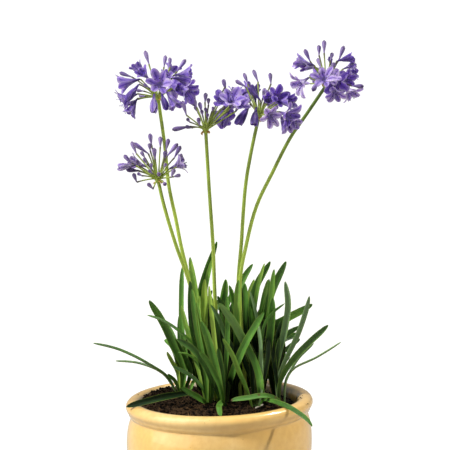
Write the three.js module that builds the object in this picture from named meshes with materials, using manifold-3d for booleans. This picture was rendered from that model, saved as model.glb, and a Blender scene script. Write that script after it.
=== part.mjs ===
// A dwarf agapanthus in flower, growing in a glazed round-bellied pot.
// Millimetres, +Z up. The origin is the centre of the pot's flat underside,
// and the plant is drawn as it is seen from the front, from -Y.

import * as THREE from 'three';
import { mergeVertices } from 'three/addons/utils/BufferGeometryUtils.js';
import Module from 'manifold-3d';

const wasm = await Module();
wasm.setup();

// ---------------------------------------------------------------- driving sizes

const POT_HEIGHT = 212;
const FOOT_RADIUS = 86;
const BELLY_RADIUS = 131;
const NECK_RADIUS = 127;
const LIP_RADIUS = 132.5;
const MOUTH_RADIUS = 110;
const WALL = 10;
const POT_SIDES = 32;

const SOIL_LEVEL = 203;        // at the middle of the pot
const SOIL_FALL = 0.03;        // the soil lies lower towards +X
const SOIL_RIPPLE = 0.8;
const SOIL_EDGE = 200;         // below this the soil fills the pot's whole width
const CLEAR = 0.6;             // between the soil and the pot, and round each stem

const CROWN = { long: 9, short: 6.5, above: 8, below: 24, sides: 8 };

const BLADE_STEPS = 2;            // for each point that a leaf passes
const BLADE_THICK = 1.3;
const BLADE_CHANNEL = 0.12;    // depth of the channel, as a share of the width
const LEAF_ROOT = 5;           // how far a leaf starts under the crown's top

const SCAPE = { foot: 3.2, top: 2.8, sides: 8, steps: 8, below: 22, collar: 5, hole: 2 };
const HEAD_GAP = 0.3;          // between a scape's end and its flower head
const RECEPTACLE = { top: 4.8, base: 3.2, height: 7, sides: 8 };
const PEDICEL = { radius: 0.95, bow: 0.07 };

const BUD = { widest: 3.2, sides: 4 };
const TEPALS = 6;
const TEPAL_THICK = 1.1;
const TEPAL_HALF_WIDTH = 0.165; // as a share of the flower's length

// A little off -Y, so that nothing in the plant runs straight along it.
const FRONT = new THREE.Vector3(0.08, -1, 0.2);

// ---------------------------------------------------------------- the pot's outline

// Radius and height of the pot's outside, from the foot up to the middle of the lip.
const POT_OUTSIDE = [
  [FOOT_RADIUS - 4, 0],
  [FOOT_RADIUS, 3],
  [104, 42],
  [120, 88],
  [129, 128],
  [BELLY_RADIUS, 152],
  [NECK_RADIUS, 180],
  [128, 187],
  [131, 191],
  [LIP_RADIUS, 202],
  [130.6, 208],
  [126.5, 211.2],
  [121, POT_HEIGHT],
];

// The inside, from the top of the lip down to the floor.
const POT_INSIDE = [
  [115.5, 210.6],
  [111.4, 207],
  [MOUTH_RADIUS, 202],
  [MOUTH_RADIUS, 192],
  [BELLY_RADIUS - WALL, 158],
  [110, 88],
  [78, WALL + 2],
];

// ---------------------------------------------------------------- shoots and leaves

// One leaf: its width, its turn about its own length (0 shows its face to the
// front, 90 its edge), then the points that it passes on its way to the tip.
const SHOOTS = [
  {
    name: 'shoot_left_back',
    foot: [-57, 50],
    leaves: [
      [8, 68, [-82, 44, 239], [-126, 30, 262], [-184, 14, 285]],
      [8, 70, [-83, 52, 229], [-116, 46, 250], [-153, 38, 257]],
      [13, 12, [-56, 36, 249], [-79, 18, 310], [-101, 4, 348]],
      [10, 20, [-65, 40, 230], [-71, 30, 248], [-75, 24, 268]],
      [13, 16, [-51, 58, 250], [-58, 58, 319], [-55, 66, 384]],
      [12, 28, [-50, 72, 242], [-65, 92, 284], [-90, 112, 307]],
    ],
  },
  {
    name: 'shoot_back_left',
    foot: [-24, 62],
    leaves: [
      [12, 15, [-29, 66, 273], [-37, 60, 356], [-43, 62, 405]],
      [14, 25, [-26, 72, 287], [-24, 70, 377], [-2, 74, 429]],
      [13, 8, [-17, 50, 269], [-17, 44, 333], [-22, 40, 373]],
      [11, 20, [-24, 46, 277], [-24, 36, 318], [-27, 30, 349]],
      [11, 25, [-34, 44, 238], [-48, 30, 294], [-54, 22, 339]],
      [12, 20, [-23, 84, 260], [-12, 104, 308], [10, 118, 333]],
    ],
  },
  {
    name: 'shoot_front_left',
    foot: [-14, -4],
    leaves: [
      [13, 28, [-21, -12, 246], [-41, -20, 305], [-42, -18, 375]],
      [10, 38, [-20, -14, 259], [-45, -22, 300], [-99, -26, 331]],
      [12, 15, [-14, -24, 238], [-31, -36, 277], [-59, -46, 301]],
      [10, 25, [-17, -8, 224], [-32, 0, 235], [-62, 8, 253]],
      [11, 25, [-13, -14, 252], [-23, -12, 287], [-45, -10, 313]],
      [12, 20, [-34, -10, 217], [-69, -24, 217], [-104, -44, 217], [-122, -50, 212.5]],
    ],
  },
  {
    name: 'shoot_front_middle',
    foot: [8, -16],
    leaves: [
      [12, 16, [0, -28, 252], [-13, -36, 298], [-24, -40, 324]],
      [11, 20, [-2, -38, 239], [-11, -50, 265], [-27, -60, 284]],
      [12, 12, [-5, -8, 258], [-15, 4, 305], [-37, 12, 349]],
      [12, 16, [2, -14, 273], [-5, -18, 330], [-14, -18, 369]],
      [11, 15, [4, -40, 213], [-1, -62, 212], [1, -84, 210], [6, -100, 207.5]],
      [10, 28, [-4, -26, 215], [-17, -36, 215], [-33, -43, 223], [-52, -46, 234]],
    ],
  },
  {
    name: 'shoot_middle',
    foot: [16, 34],
    leaves: [
      [11, 32, [4, 42, 270], [2, 44, 328], [9, 46, 373]],
      [11, 20, [15, 14, 252], [7, 1, 304], [-12, -5, 339]],
      [13, 12, [22, 18, 230], [33, -6, 278], [62, -26, 332]],
      [11, 20, [20, 30, 272], [12, 28, 328], [-3, 26, 352]],
      [12, 15, [28, 40, 278], [25, 34, 337], [14, 30, 366]],
      [12, 20, [21, 56, 282], [27, 62, 358], [51, 70, 393]],
      [13, 16, [33, 40, 256], [37, 40, 322], [38, 46, 367]],
      [12, 25, [18, 58, 258], [22, 88, 302], [14, 110, 322]],
    ],
  },
  {
    name: 'shoot_right_back',
    foot: [58, 40],
    leaves: [
      [13, 12, [57, 26, 244], [36, 2, 301], [0, -12, 345]],
      [8, 52, [60, 24, 242], [58, 12, 311], [43, 4, 361]],
      [11, 15, [54, 24, 224], [45, 14, 245], [36, 6, 259]],
      [12, 25, [50, 52, 268], [50, 54, 353], [66, 58, 395]],
      [14, 16, [57, 62, 267], [54, 72, 339], [75, 80, 395]],
      [11, 20, [54, 70, 250], [45, 90, 322], [53, 100, 367]],
      [13, 15, [59, 46, 277], [72, 42, 355], [97, 38, 400]],
    ],
  },
  {
    name: 'shoot_front_right',
    foot: [50, -22],
    leaves: [
      [12, 16, [43, -34, 231], [24, -48, 272], [7, -58, 304]],
      [8, 38, [46, -14, 259], [63, -8, 319], [92, 0, 342]],
      [12, 20, [59, -48, 223], [42, -58, 222], [17, -62, 220]],
      [12, 16, [66, -34, 214], [86, -58, 217], [105, -75, 217.5], [119, -73, 202], [125, -65, 185]],
      [11, 28, [52, -6, 247], [55, 2, 284], [61, 4, 304]],
    ],
  },
  {
    name: 'shoot_right',
    foot: [84, 28],
    leaves: [
      [13, 25, [70, 26, 266], [67, 20, 337], [79, 14, 390]],
      [12, 25, [88, 22, 264], [98, 14, 335], [93, 10, 374]],
      [11, 48, [92, 14, 252], [117, 2, 311], [126, -6, 355]],
      [13, 16, [75, 42, 278], [95, 50, 314], [136, 58, 335]],
      [11, 25, [85, 40, 253], [100, 50, 273], [119, 58, 284]],
      [11, 25, [83, 30, 272], [96, 36, 292], [115, 42, 304]],
      [13, 8, [75, 10, 254], [79, 2, 313], [78, -2, 353]],
      [10, 38, [76, 60, 267], [69, 72, 339], [73, 80, 370]],
      [11, 20, [94, 46, 258], [110, 68, 298], [118, 88, 312]],
    ],
  },
  {
    name: 'shoot_far_right',
    foot: [88, -6],
    leaves: [
      [12, 15, [93, -14, 252], [120, -26, 291], [150, -36, 317]],
      [8, 66, [96, 0, 242], [110, 6, 262], [136, 12, 285]],
      [8, 68, [102, -4, 249], [139, -8, 269], [173, -10, 291]],
      [11, 20, [81, -16, 266], [73, -20, 295], [70, -22, 321]],
    ],
  },
];

// ---------------------------------------------------------------- flower stems and heads

// A scape's way goes from the soil to the middle of its flower head. A bud is
// its calyx end, its tip and its size; a bloom is its calyx end, the middle of
// its mouth and how wide it stands open. All six numbers are across, towards
// the back and up from the head's middle.
const HEADS = [
  {
    scape: [
      [-20, 24], [-42, 26, 367], [-55, 26, 424], [-62, 26, 461],
      [-72, 24, 510], [-77, 20, 564], [-86, 14, 632],
    ],
    buds: [
      [-13, 5, 48, -18, 6, 65, 1.1],
      [8, 7, 44, 10, 9, 59, 0.9],
      [17, -3, 43, 17, -4, 55, 0.8],
      [27, -5, 37, 38, -6, 52, 1.05],
      [-37, 7, 30, -53, 9, 36, 1],
      [-19, -15, 9, -28, -16, 10, 0.7],
      [-11, -21, 13, -18, -22, 18, 0.6],
      [-29, 7, -1, -43, 8, -8, 0.8],
    ],
    blooms: [
      [-20, 4, 35, -38, 15, 53, 0.45],
      [-27, 3, 27, -54, 9, 20, 0.55],
      [-30, -4, 18, -60, -7, 0, 0.8],
      [-32, -7, 5, -47, -11, -27, 0.6],
      [-1, -32, 6, 2, -57, 21, 1],
      [-4, -23, 0, -3, -41, -24, 0.15],
      [5, 13, 8, 11, 24, -16, 0.3],
      [13, -12, 9, 29, -15, -19, 0.45],
      [24, 3, 34, 47, 12, 36, 0.6],
      [20, -8, 11, 48, -14, 6, 0.7],
      [17, 9, 33, 24, 31, 49, 0.5],
      [-10, -17, 13, -16, -42, 16, 0.75],
    ],
  },
  {
    crowded: true,
    scape: [[-5, 8], [-41, -8, 371], [-60, -20, 428], [-76, -26, 483], [-84, -26, 518]],
    buds: [
      [-9, 3, 48, -11, 4, 62, 1.1],
      [-10, -8, 40, -11, -10, 49, 0.8],
      [-3, -13, 29, -4, -18, 42, 1.15],
      [3, 3, 45, 3, 5, 58, 1],
      [11, 5, 41, 14, 6, 55, 1],
      [10, -8, 30, 10, -11, 38, 0.75],
      [13, -3, 33, 26, -4, 48, 1.15],
      [22, 5, 30, 30, 6, 45, 1.05],
      [-30, 5, 36, -36, 6, 51, 1],
      [-13, -3, 36, -31, -5, 49, 1.2],
      [-17, -9, 30, -22, -10, 38, 0.7],
      [-14, -13, 22, -18, -17, 29, 0.7],
      [-7, -24, 15, -8, -27, 22, 0.6],
      [-25, -8, 19, -28, -15, 26, 0.9],
      [-37, 5, 22, -46, 6, 33, 1],
      [-6, -27, 9, -10, -32, 13, 0.6],
      [3, -34, 6, 4, -44, 9, 0.8],
      [10, -34, -3, 12, -45, -5, 0.9],
      [-6, -16, -12, -12, -21, -5, 0.9],
      [-29, -4, -3, -33, -5, 8, 0.9],
      [-21, -16, 6, -26, -20, 9, 0.6],
      [9, -18, 17, 12, -23, 22, 0.6],
      [26, -5, 18, 32, -7, 34, 1.1],
      [19, -15, 4, 23, -21, 14, 1],
    ],
    blooms: [
      [-27, -4, 12, -53, -10, 18, 0.12],
      [-21, 10, 21, -38, 28, 32, 0.5],
      [22, 2, 16, 39, 11, 23, 0.75],
    ],
  },
  {
    scape: [[4, 20], [-6, 12, 347], [-9, 10, 426], [-13, 8, 486], [-16, 6, 534], [-19, 4, 587]],
    buds: [
      [-27, 3, 21, -32, 4, 39, 1.15],
      [-22, -5, 5, -44, -7, 1, 1.3],
      [-22, -9, 11, -25, -15, 15, 0.7],
      [-1, 4, 39, 0, 8, 51, 1],
      [4, -4, 35, 4, -8, 43, 0.8],
      [-4, -13, 20, -5, -19, 26, 0.7],
      [2, -13, 23, 0, -20, 29, 0.7],
      [9, -8, 26, 11, -12, 31, 0.6],
      [3, -19, 16, 3, -25, 21, 0.6],
      [-11, 6, 25, -15, 11, 33, 0.8],
      [-8, -31, 6, -9, -41, 14, 1],
      [-13, 7, 32, -16, 12, 42, 0.9],
      [27, 3, 60, 25, 7, 70, 1],
    ],
    blooms: [
      [-11, 9, 25, -24, 24, 46, 0.35],
      [18, -12, 40, 37, -33, 47, 0.95],
      [35, -3, 28, 22, -5, 1, 0.55],
      [11, 9, 38, 14, 28, 60, 0.7],
    ],
  },
  {
    scape: [[30, 25], [27, 22, 370], [31, 16, 425], [37, 8, 510], [45, 0, 559], [55, -10, 606]],
    buds: [
      [-15, 5, 44, -21, 6, 58, 1.05],
      [-2, 2, 47, -7, 2, 62, 1.1],
      [17, 3, 44, 15, 4, 58, 1.1],
      [-18, -1, 40, -31, -2, 48, 1],
      [12, -7, 24, 11, -9, 34, 0.8],
      [39, 3, 24, 51, 4, 25, 1],
    ],
    blooms: [
      [-9, 13, 19, -23, 30, 35, 0.7],
      [-5, -18, 10, -6, -35, -14, 0.18],
      [-12, 6, 11, -32, 8, -11, 0.3],
      [8, -31, 5, 16, -58, -4, 0.8],
      [10, 2, 19, 18, 12, 34, 0.7],
      [25, 6, 17, 47, 20, 23, 0.5],
      [19, -17, 10, 43, -24, -4, 0.9],
      [20, 5, 6, 39, 7, -16, 0.8],
    ],
  },
  {
    scape: [
      [38, 16], [29, 9, 372], [38, 12, 425], [53, 20, 481],
      [75, 22, 527], [101, 20, 578], [121, 18, 607], [150, 12, 650],
    ],
    buds: [
      [-3, 2, 45, -3, 2, 61, 1.15],
      [-10, 4, 42, -10, 6, 55, 1],
      [-23, -3, 33, -30, -4, 48, 1.15],
      [6, 4, 35, 9, 8, 45, 0.9],
      [18, 2, 36, 24, 2, 53, 1.1],
      [7, -11, 21, 9, -17, 29, 0.9],
      [38, -1, -2, 50, -3, -2, 1],
      [-12, -19, 5, -21, -22, -10, 1.2],
      [2, -22, 1, -1, -28, -9, 0.9],
    ],
    blooms: [
      [-20, 1, 27, -45, 7, 33, 0.5],
      [-21, -5, 8, -46, -12, -4, 1],
      [-4, -32, 4, -7, -60, 12, 1],
      [16, 3, 27, 37, 11, 41, 0.2],
      [28, 4, 27, 51, 17, 34, 0.6],
      [16, -10, 10, 37, -22, 0, 0.6],
      [11, -12, -5, 11, -29, -23, 0.85],
      [23, 5, -2, 42, 12, -20, 0.85],
      [-12, 12, 19, -23, 33, 27, 0.6],
    ],
  },
];

// What stands at the back of every head, its across turned about on every
// second head. A head that has a scape close behind it has no blooms there.
const BEHIND = {
  buds: [
    [-6, 22, 26, -9, 31, 39, 1],
    [-20, 24, 4, -28, 34, 6, 0.9],
  ],
  blooms: [
    [14, 25, 12, 24, 51, 19, 0.8],
    [-9, 27, 7, -16, 53, 1, 0.55],
  ],
};

// ---------------------------------------------------------------- solids

function vector(point) {
  return new THREE.Vector3(point[0], point[1], point[2]);
}

function solidOf(geometry) {
  const plain = geometry.clone();
  plain.deleteAttribute('normal');
  plain.deleteAttribute('uv');
  const merged = mergeVertices(plain, 1e-4);
  const mesh = new wasm.Mesh({
    numProp: 3,
    vertProperties: new Float32Array(merged.attributes.position.array),
    triVerts: new Uint32Array(merged.index.array),
  });
  return new wasm.Manifold(mesh);
}

function geometryOf(solid) {
  const mesh = solid.getMesh();
  const geometry = new THREE.BufferGeometry();
  geometry.setAttribute('position', new THREE.BufferAttribute(mesh.vertProperties, 3));
  geometry.setIndex(new THREE.BufferAttribute(mesh.triVerts, 1));
  geometry.computeVertexNormals();
  return geometry;
}

// A closed skin over rings of points that run anticlockwise as seen from the
// far end. A ring of one point closes its end; any other end ring gets a lid.
function skin(rings) {
  const faces = [];
  let start = 0;
  for (let i = 0; i + 1 < rings.length; i += 1) {
    const low = rings[i].length;
    const high = rings[i + 1].length;
    const sides = Math.max(low, high);
    for (let j = 0; j < sides; j += 1) {
      const next = (j + 1) % sides;
      if (low > 1) {
        faces.push(start + j, start + next, start + low + (high > 1 ? next : 0));
      }
      if (high > 1) {
        faces.push(start + (low > 1 ? j : 0), start + low + next, start + low + j);
      }
    }
    start += low;
  }
  const last = rings[rings.length - 1].length;
  for (let j = 1; j + 1 < rings[0].length; j += 1) {
    faces.push(0, j + 1, j);
  }
  for (let j = 1; j + 1 < last; j += 1) {
    faces.push(start, start + j, start + j + 1);
  }
  const geometry = new THREE.BufferGeometry().setFromPoints(rings.flat());
  geometry.setIndex(faces);
  return solidOf(geometry);
}

// The side and face directions of something that runs along a tangent, with
// its face turned to the front and then turned about its own length.
function frameAlong(tangent, turn) {
  const side = new THREE.Vector3().crossVectors(FRONT, tangent).normalize();
  side.applyAxisAngle(tangent, THREE.MathUtils.degToRad(turn));
  const face = new THREE.Vector3().crossVectors(tangent, side);
  return { side, face };
}

function roundRing(centre, tangent, radius, sides) {
  const { side, face } = frameAlong(tangent, 0);
  const ring = [];
  for (let j = 0; j < sides; j += 1) {
    const angle = (j / sides) * Math.PI * 2;
    const point = centre.clone();
    point.addScaledVector(side, Math.cos(angle) * radius);
    point.addScaledVector(face, Math.sin(angle) * radius);
    ring.push(point);
  }
  return ring;
}

function nearest(point, candidates) {
  const distances = candidates.map((candidate) => candidate.distanceTo(point));
  return distances.indexOf(Math.min(...distances));
}

// ---------------------------------------------------------------- pot and soil

function soilTop(x, y) {
  const ripple = Math.sin(x * 0.11 + 1) * Math.cos(y * 0.13) + Math.sin(x * 0.05 - y * 0.07);
  return SOIL_LEVEL - SOIL_FALL * x + SOIL_RIPPLE * ripple;
}

function makePot() {
  const outline = [[0, 0], ...POT_OUTSIDE, ...POT_INSIDE, [0, WALL + 2]];
  const profile = outline.map(([radius, height]) => new THREE.Vector2(radius, height));
  const lathe = new THREE.LatheGeometry(profile, POT_SIDES);
  lathe.rotateX(Math.PI / 2);
  return solidOf(lathe);
}

function flatRing(radius, height) {
  const ring = [];
  for (let j = 0; j < POT_SIDES; j += 1) {
    const angle = (j / POT_SIDES) * Math.PI * 2;
    const x = Math.sin(-angle) * -radius;
    const y = Math.cos(angle) * -radius;
    ring.push(new THREE.Vector3(x, y, height === undefined ? soilTop(x, y) : height));
  }
  return ring;
}

function makeSoil(crowns, scapeFeet) {
  const wall = POT_INSIDE.filter(([, height]) => height < SOIL_EDGE).reverse();
  const edge = MOUTH_RADIUS - CLEAR;
  const rings = [[new THREE.Vector3(0, 0, WALL + 2 + CLEAR)]];
  for (const [radius, height] of wall) {
    rings.push(flatRing(radius - CLEAR, height === WALL + 2 ? height + CLEAR : height));
  }
  rings.push(flatRing(edge));
  for (const share of [0.74, 0.4]) {
    rings.push(flatRing(edge * share));
  }
  rings.push([new THREE.Vector3(0, 0, soilTop(0, 0))]);
  let soil = skin(rings);
  for (const { foot, heading } of crowns) {
    soil = soil.subtract(makeCrown(foot, heading, CLEAR));
  }
  for (const foot of scapeFeet) {
    const radius = SCAPE.foot + SCAPE.hole;
    const depth = SCAPE.below + CLEAR;
    const hole = new THREE.CylinderGeometry(radius, radius, depth * 2, SCAPE.sides);
    hole.rotateX(Math.PI / 2);
    hole.translate(foot[0], foot[1], soilTop(foot[0], foot[1]));
    soil = soil.subtract(solidOf(hole));
  }
  return soil;
}

// ---------------------------------------------------------------- shoots

// The pale foot that a shoot's leaves grow from, an oval stem set in the soil.
function makeCrown(foot, heading, extra) {
  const level = soilTop(foot[0], foot[1]);
  const lengthwise = new THREE.Vector2(Math.cos(heading), Math.sin(heading));
  const across = new THREE.Vector2(-lengthwise.y, lengthwise.x);
  const heights = [
    [level - CROWN.below - extra, 0.72],
    [level - 4, 1],
    [level + CROWN.above + extra, 0.86],
  ];
  const rings = heights.map(([height, share]) => {
    const ring = [];
    for (let j = 0; j < CROWN.sides; j += 1) {
      const angle = (j / CROWN.sides) * Math.PI * 2;
      const long = Math.cos(angle) * (CROWN.long * share + extra);
      const short = Math.sin(angle) * (CROWN.short * share + extra);
      ring.push(new THREE.Vector3(
        foot[0] + lengthwise.x * long + across.x * short,
        foot[1] + lengthwise.y * long + across.y * short,
        height));
    }
    return ring;
  });
  return skin(rings);
}

// Share of the full width at a share of the length: narrow in the crown,
// full over the middle, and a blunt point.
function bladeWidth(share) {
  const rise = 0.62 + 0.38 * Math.min(1, share / 0.4);
  const fall = Math.min(1, (1 - share) / 0.22);
  return rise * fall ** 0.45;
}

function makeBlade(points, width, turn) {
  const curve = new THREE.CatmullRomCurve3(points, false, 'centripetal');
  const steps = BLADE_STEPS * (points.length - 1);
  const rings = [];
  for (let i = 0; i < steps; i += 1) {
    const share = 1 - (1 - i / steps) ** 1.6;
    const centre = curve.getPointAt(share);
    const { side, face } = frameAlong(curve.getTangentAt(share), turn);
    const half = (width / 2) * bladeWidth(share);
    const rim = width * BLADE_CHANNEL * bladeWidth(share);
    const keel = BLADE_THICK * (1.25 - 0.5 * share);
    rings.push([
      centre.clone(),
      centre.clone().addScaledVector(side, -half).addScaledVector(face, rim),
      centre.clone().addScaledVector(face, -keel),
      centre.clone().addScaledVector(side, half).addScaledVector(face, rim),
    ]);
  }
  rings.push([curve.getPointAt(1)]);
  return skin(rings);
}

// A leaf starts inside the crown, on the side that it leans to.
function leafRoot(foot, first) {
  const lean = new THREE.Vector2(first[0] - foot[0], first[1] - foot[1]);
  lean.clampLength(0, 4.5);
  const height = soilTop(foot[0], foot[1]) + CROWN.above - LEAF_ROOT;
  return new THREE.Vector3(foot[0] + lean.x, foot[1] + lean.y, height);
}

function makeShoot({ foot, leaves }, heading) {
  const pieces = [makeCrown(foot, heading, 0)];
  for (const [width, turn, ...way] of leaves) {
    pieces.push(makeBlade([leafRoot(foot, way[0]), ...way.map(vector)], width, turn));
  }
  return wasm.Manifold.union(pieces);
}

// ---------------------------------------------------------------- scapes and flower heads

function scapeCurve(scape) {
  const [foot, ...way] = scape;
  const level = soilTop(foot[0], foot[1]);
  const base = new THREE.Vector3(foot[0], foot[1], level - SCAPE.below);
  const collar = new THREE.Vector3(foot[0], foot[1], level + SCAPE.collar);
  return new THREE.CatmullRomCurve3([base, collar, ...way.map(vector)], false, 'centripetal');
}

function makeScape(curve) {
  const length = curve.getLength();
  const end = 1 - (RECEPTACLE.height / 2 + HEAD_GAP) / length;
  const rings = [];
  for (let i = 0; i <= SCAPE.steps; i += 1) {
    const share = end * (i / SCAPE.steps);
    const radius = THREE.MathUtils.lerp(SCAPE.foot, SCAPE.top, share);
    rings.push(roundRing(curve.getPointAt(share), curve.getTangentAt(share), radius, SCAPE.sides));
  }
  return skin(rings);
}

// The rings of a flower stalk, rooted in the top of the receptacle on the side
// that it leans to, and ending where its bud or bloom begins.
function pedicelRings(root, sides) {
  const length = root.length();
  const lean = new THREE.Vector2(root.x, root.y).multiplyScalar(1 / length);
  lean.setLength(RECEPTACLE.top * 0.75 * Math.sqrt(lean.length()));
  const start = new THREE.Vector3(lean.x, lean.y, RECEPTACLE.height * 0.3);
  const middle = root.clone().multiplyScalar(0.5);
  middle.z += length * PEDICEL.bow;
  const curve = new THREE.QuadraticBezierCurve3(start, middle, root);
  return [0, 0.5].map((share) => roundRing(
    curve.getPoint(share), curve.getTangent(share), PEDICEL.radius, sides));
}

function makeBud(root, tip, size) {
  const tangent = tip.clone().sub(root).normalize();
  const outline = [
    [0, 0.32],
    [0.34, 0.66],
    [0.7, 1],
  ];
  const rings = outline.map(([share, width]) => roundRing(
    root.clone().lerp(tip, share), tangent, BUD.widest * width * Math.sqrt(size), BUD.sides));
  return skin([...pedicelRings(root, BUD.sides), ...rings, [tip]]);
}

// An open flower: a short tube that parts into six tepals round a deep throat,
// with a flat inner face and a keel along the back of each tepal.
function makeBloom(root, mouth, open) {
  const axis = mouth.clone().sub(root);
  const length = axis.length();
  const tangent = axis.normalize();
  const { side, face } = frameAlong(tangent, 0);
  const points = [];
  const faces = [];
  const add = (radius, height, angle) => {
    const point = root.clone().addScaledVector(tangent, height * length);
    point.addScaledVector(side, Math.cos(angle) * radius * length);
    point.addScaledVector(face, Math.sin(angle) * radius * length);
    return points.push(point) - 1;
  };
  const sector = (Math.PI * 2) / TEPALS;
  const tip = { radius: 0.15 + 0.5 * open, height: 1.06 - 0.28 * open * open };
  const wide = {
    radius: 0.12 + (tip.radius - 0.12) * 0.58,
    height: 0.42 + (tip.height - 0.42) * 0.7,
  };
  const halfAngle = Math.min(sector * 0.49, TEPAL_HALF_WIDTH / wide.radius);
  const keel = TEPAL_THICK / length;
  const throat = add(0, 0.16, 0);
  const calyx = [];
  const outer = [];
  const inner = [];
  for (let k = 0; k < TEPALS; k += 1) {
    const angle = (k + 0.5) * sector;
    calyx.push(add(0.05, 0, angle));
    outer.push(add(0.125, 0.4, angle));
    inner.push(add(0.095, 0.43, angle));
  }
  for (let k = 0; k < TEPALS; k += 1) {
    const before = (k + TEPALS - 1) % TEPALS;
    const angle = k * sector;
    const right = add(wide.radius, wide.height, angle - halfAngle);
    const left = add(wide.radius, wide.height, angle + halfAngle);
    const end = add(tip.radius, tip.height, angle);
    const back = add(wide.radius + keel * 0.6, wide.height - keel, angle);
    const outline = [outer[before], outer[k], left, end, right];
    outline.forEach((point, j) => faces.push(back, point, outline[(j + 1) % outline.length]));
    faces.push(inner[before], right, left, inner[before], left, inner[k], right, end, left);
    faces.push(outer[before], right, inner[before], left, outer[k], inner[k]);
    faces.push(calyx[before], calyx[k], outer[k], calyx[before], outer[k], outer[before]);
    faces.push(throat, inner[before], inner[k]);
  }
  // the stalk's three sides open out to the six of the calyx
  const sides = TEPALS / 2;
  const [low, high] = pedicelRings(root, sides).map((ring) => ring.map((point) => points.push(point) - 1));
  const shift = nearest(points[high[0]], calyx.map((index) => points[index]));
  const calyxAt = (j) => calyx[(j + shift) % TEPALS];
  faces.push(low[0], low[2], low[1]);
  for (let j = 0; j < sides; j += 1) {
    const next = (j + 1) % sides;
    faces.push(low[j], low[next], high[next], low[j], high[next], high[j]);
    faces.push(high[j], calyxAt(2 * j + 1), calyxAt(2 * j));
    faces.push(high[j], high[next], calyxAt(2 * j + 1));
    faces.push(high[next], calyxAt(2 * j + 2), calyxAt(2 * j + 1));
  }
  const geometry = new THREE.BufferGeometry().setFromPoints(points);
  geometry.setIndex(faces);
  return solidOf(geometry);
}

function makeHead({ buds, blooms, crowded }, turned, curve) {
  const middle = curve.getPointAt(1);
  const upright = new THREE.Quaternion().setFromUnitVectors(
    new THREE.Vector3(0, 1, 0), curve.getTangentAt(1));
  const receptacle = new THREE.CylinderGeometry(
    RECEPTACLE.top, RECEPTACLE.base, RECEPTACLE.height, RECEPTACLE.sides);
  receptacle.applyQuaternion(upright);
  const pieces = [solidOf(receptacle)];
  const behind = (rows) => rows.map(([x, y, z, endX, ...rest]) => [x * turned, y, z, endX * turned, ...rest]);
  const allBuds = [...buds, ...behind(BEHIND.buds)];
  const allBlooms = crowded ? blooms : [...blooms, ...behind(BEHIND.blooms)];
  for (const [x, y, z, tipX, tipY, tipZ, size] of allBuds) {
    const root = new THREE.Vector3(x, y, z);
    pieces.push(makeBud(root, new THREE.Vector3(tipX, tipY, tipZ), size));
  }
  for (const [x, y, z, mouthX, mouthY, mouthZ, open] of allBlooms) {
    const root = new THREE.Vector3(x, y, z);
    pieces.push(makeBloom(root, new THREE.Vector3(mouthX, mouthY, mouthZ), open));
  }
  return wasm.Manifold.union(pieces).translate(middle.x, middle.y, middle.z);
}

// ---------------------------------------------------------------- the whole plant

const MATERIALS = {
  glaze: new THREE.MeshStandardMaterial({ color: '#ecc684', roughness: 0.22, metalness: 0 }),
  soil: new THREE.MeshStandardMaterial({ color: '#2c2217', roughness: 0.95, metalness: 0 }),
  leaf: new THREE.MeshStandardMaterial({ color: '#3f7034', roughness: 0.45, metalness: 0 }),
  stem: new THREE.MeshStandardMaterial({ color: '#86a23c', roughness: 0.5, metalness: 0 }),
  petal: new THREE.MeshStandardMaterial({ color: '#7565bd', roughness: 0.6, metalness: 0 }),
};

const plant = new THREE.Group();

function place(name, solid, material) {
  const mesh = new THREE.Mesh(geometryOf(solid), material);
  mesh.name = name;
  plant.add(mesh);
}

// A shoot's oval crown lies along the line from the pot's middle to its foot.
const crowns = SHOOTS.map(({ foot }) => ({ foot, heading: Math.atan2(foot[1], foot[0]) }));

place('pot', makePot(), MATERIALS.glaze);
place('soil', makeSoil(crowns, HEADS.map(({ scape }) => scape[0])), MATERIALS.soil);
SHOOTS.forEach((shoot, i) => {
  place(shoot.name, makeShoot(shoot, crowns[i].heading), MATERIALS.leaf);
});
HEADS.forEach((head, i) => {
  const curve = scapeCurve(head.scape);
  place(`scape_${i + 1}`, makeScape(curve), MATERIALS.stem);
  place(`umbel_${i + 1}`, makeHead(head, i % 2 ? -1 : 1, curve), MATERIALS.petal);
});

export default plant;
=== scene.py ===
import bisect
import math
import random

import bmesh
import bpy
from mathutils import Matrix, Vector, noise


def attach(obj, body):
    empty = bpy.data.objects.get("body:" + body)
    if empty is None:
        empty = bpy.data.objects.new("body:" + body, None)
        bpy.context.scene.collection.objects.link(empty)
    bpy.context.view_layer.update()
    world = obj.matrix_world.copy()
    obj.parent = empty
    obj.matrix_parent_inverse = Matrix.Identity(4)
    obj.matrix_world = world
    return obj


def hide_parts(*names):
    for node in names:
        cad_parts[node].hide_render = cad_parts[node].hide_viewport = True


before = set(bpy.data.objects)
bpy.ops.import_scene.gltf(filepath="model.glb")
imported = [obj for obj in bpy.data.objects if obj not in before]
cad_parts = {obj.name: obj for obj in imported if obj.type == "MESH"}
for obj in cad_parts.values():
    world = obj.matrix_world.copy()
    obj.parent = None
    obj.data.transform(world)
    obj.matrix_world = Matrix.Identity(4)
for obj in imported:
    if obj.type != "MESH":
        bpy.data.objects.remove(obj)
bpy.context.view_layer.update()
scene = bpy.context.scene
scene.view_settings.view_transform = "Standard"

# Everything is drawn in millimetres and made metres as each piece is finished.
mm = 0.001
weld = 0.001   # corners closer than this become one
fullTurn = 2 * math.pi
frontDirection = Vector((0.08, -1, 0.2))   # the side that a leaf's face and a flower's seam look to


# the camera comes first

view = {"place": (8, -1487, 542), "tilt": 86.63, "lens": 85, "reach": 50}


def placeCamera():
    data = bpy.data.cameras.new("camera")
    data.lens = view["lens"]
    data.clip_end = view["reach"]
    camera = bpy.data.objects.new("camera", data)
    camera.location = Vector(view["place"]) * mm
    camera.rotation_euler = (math.radians(view["tilt"]), 0, 0)
    scene.collection.objects.link(camera)
    scene.camera = camera


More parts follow.
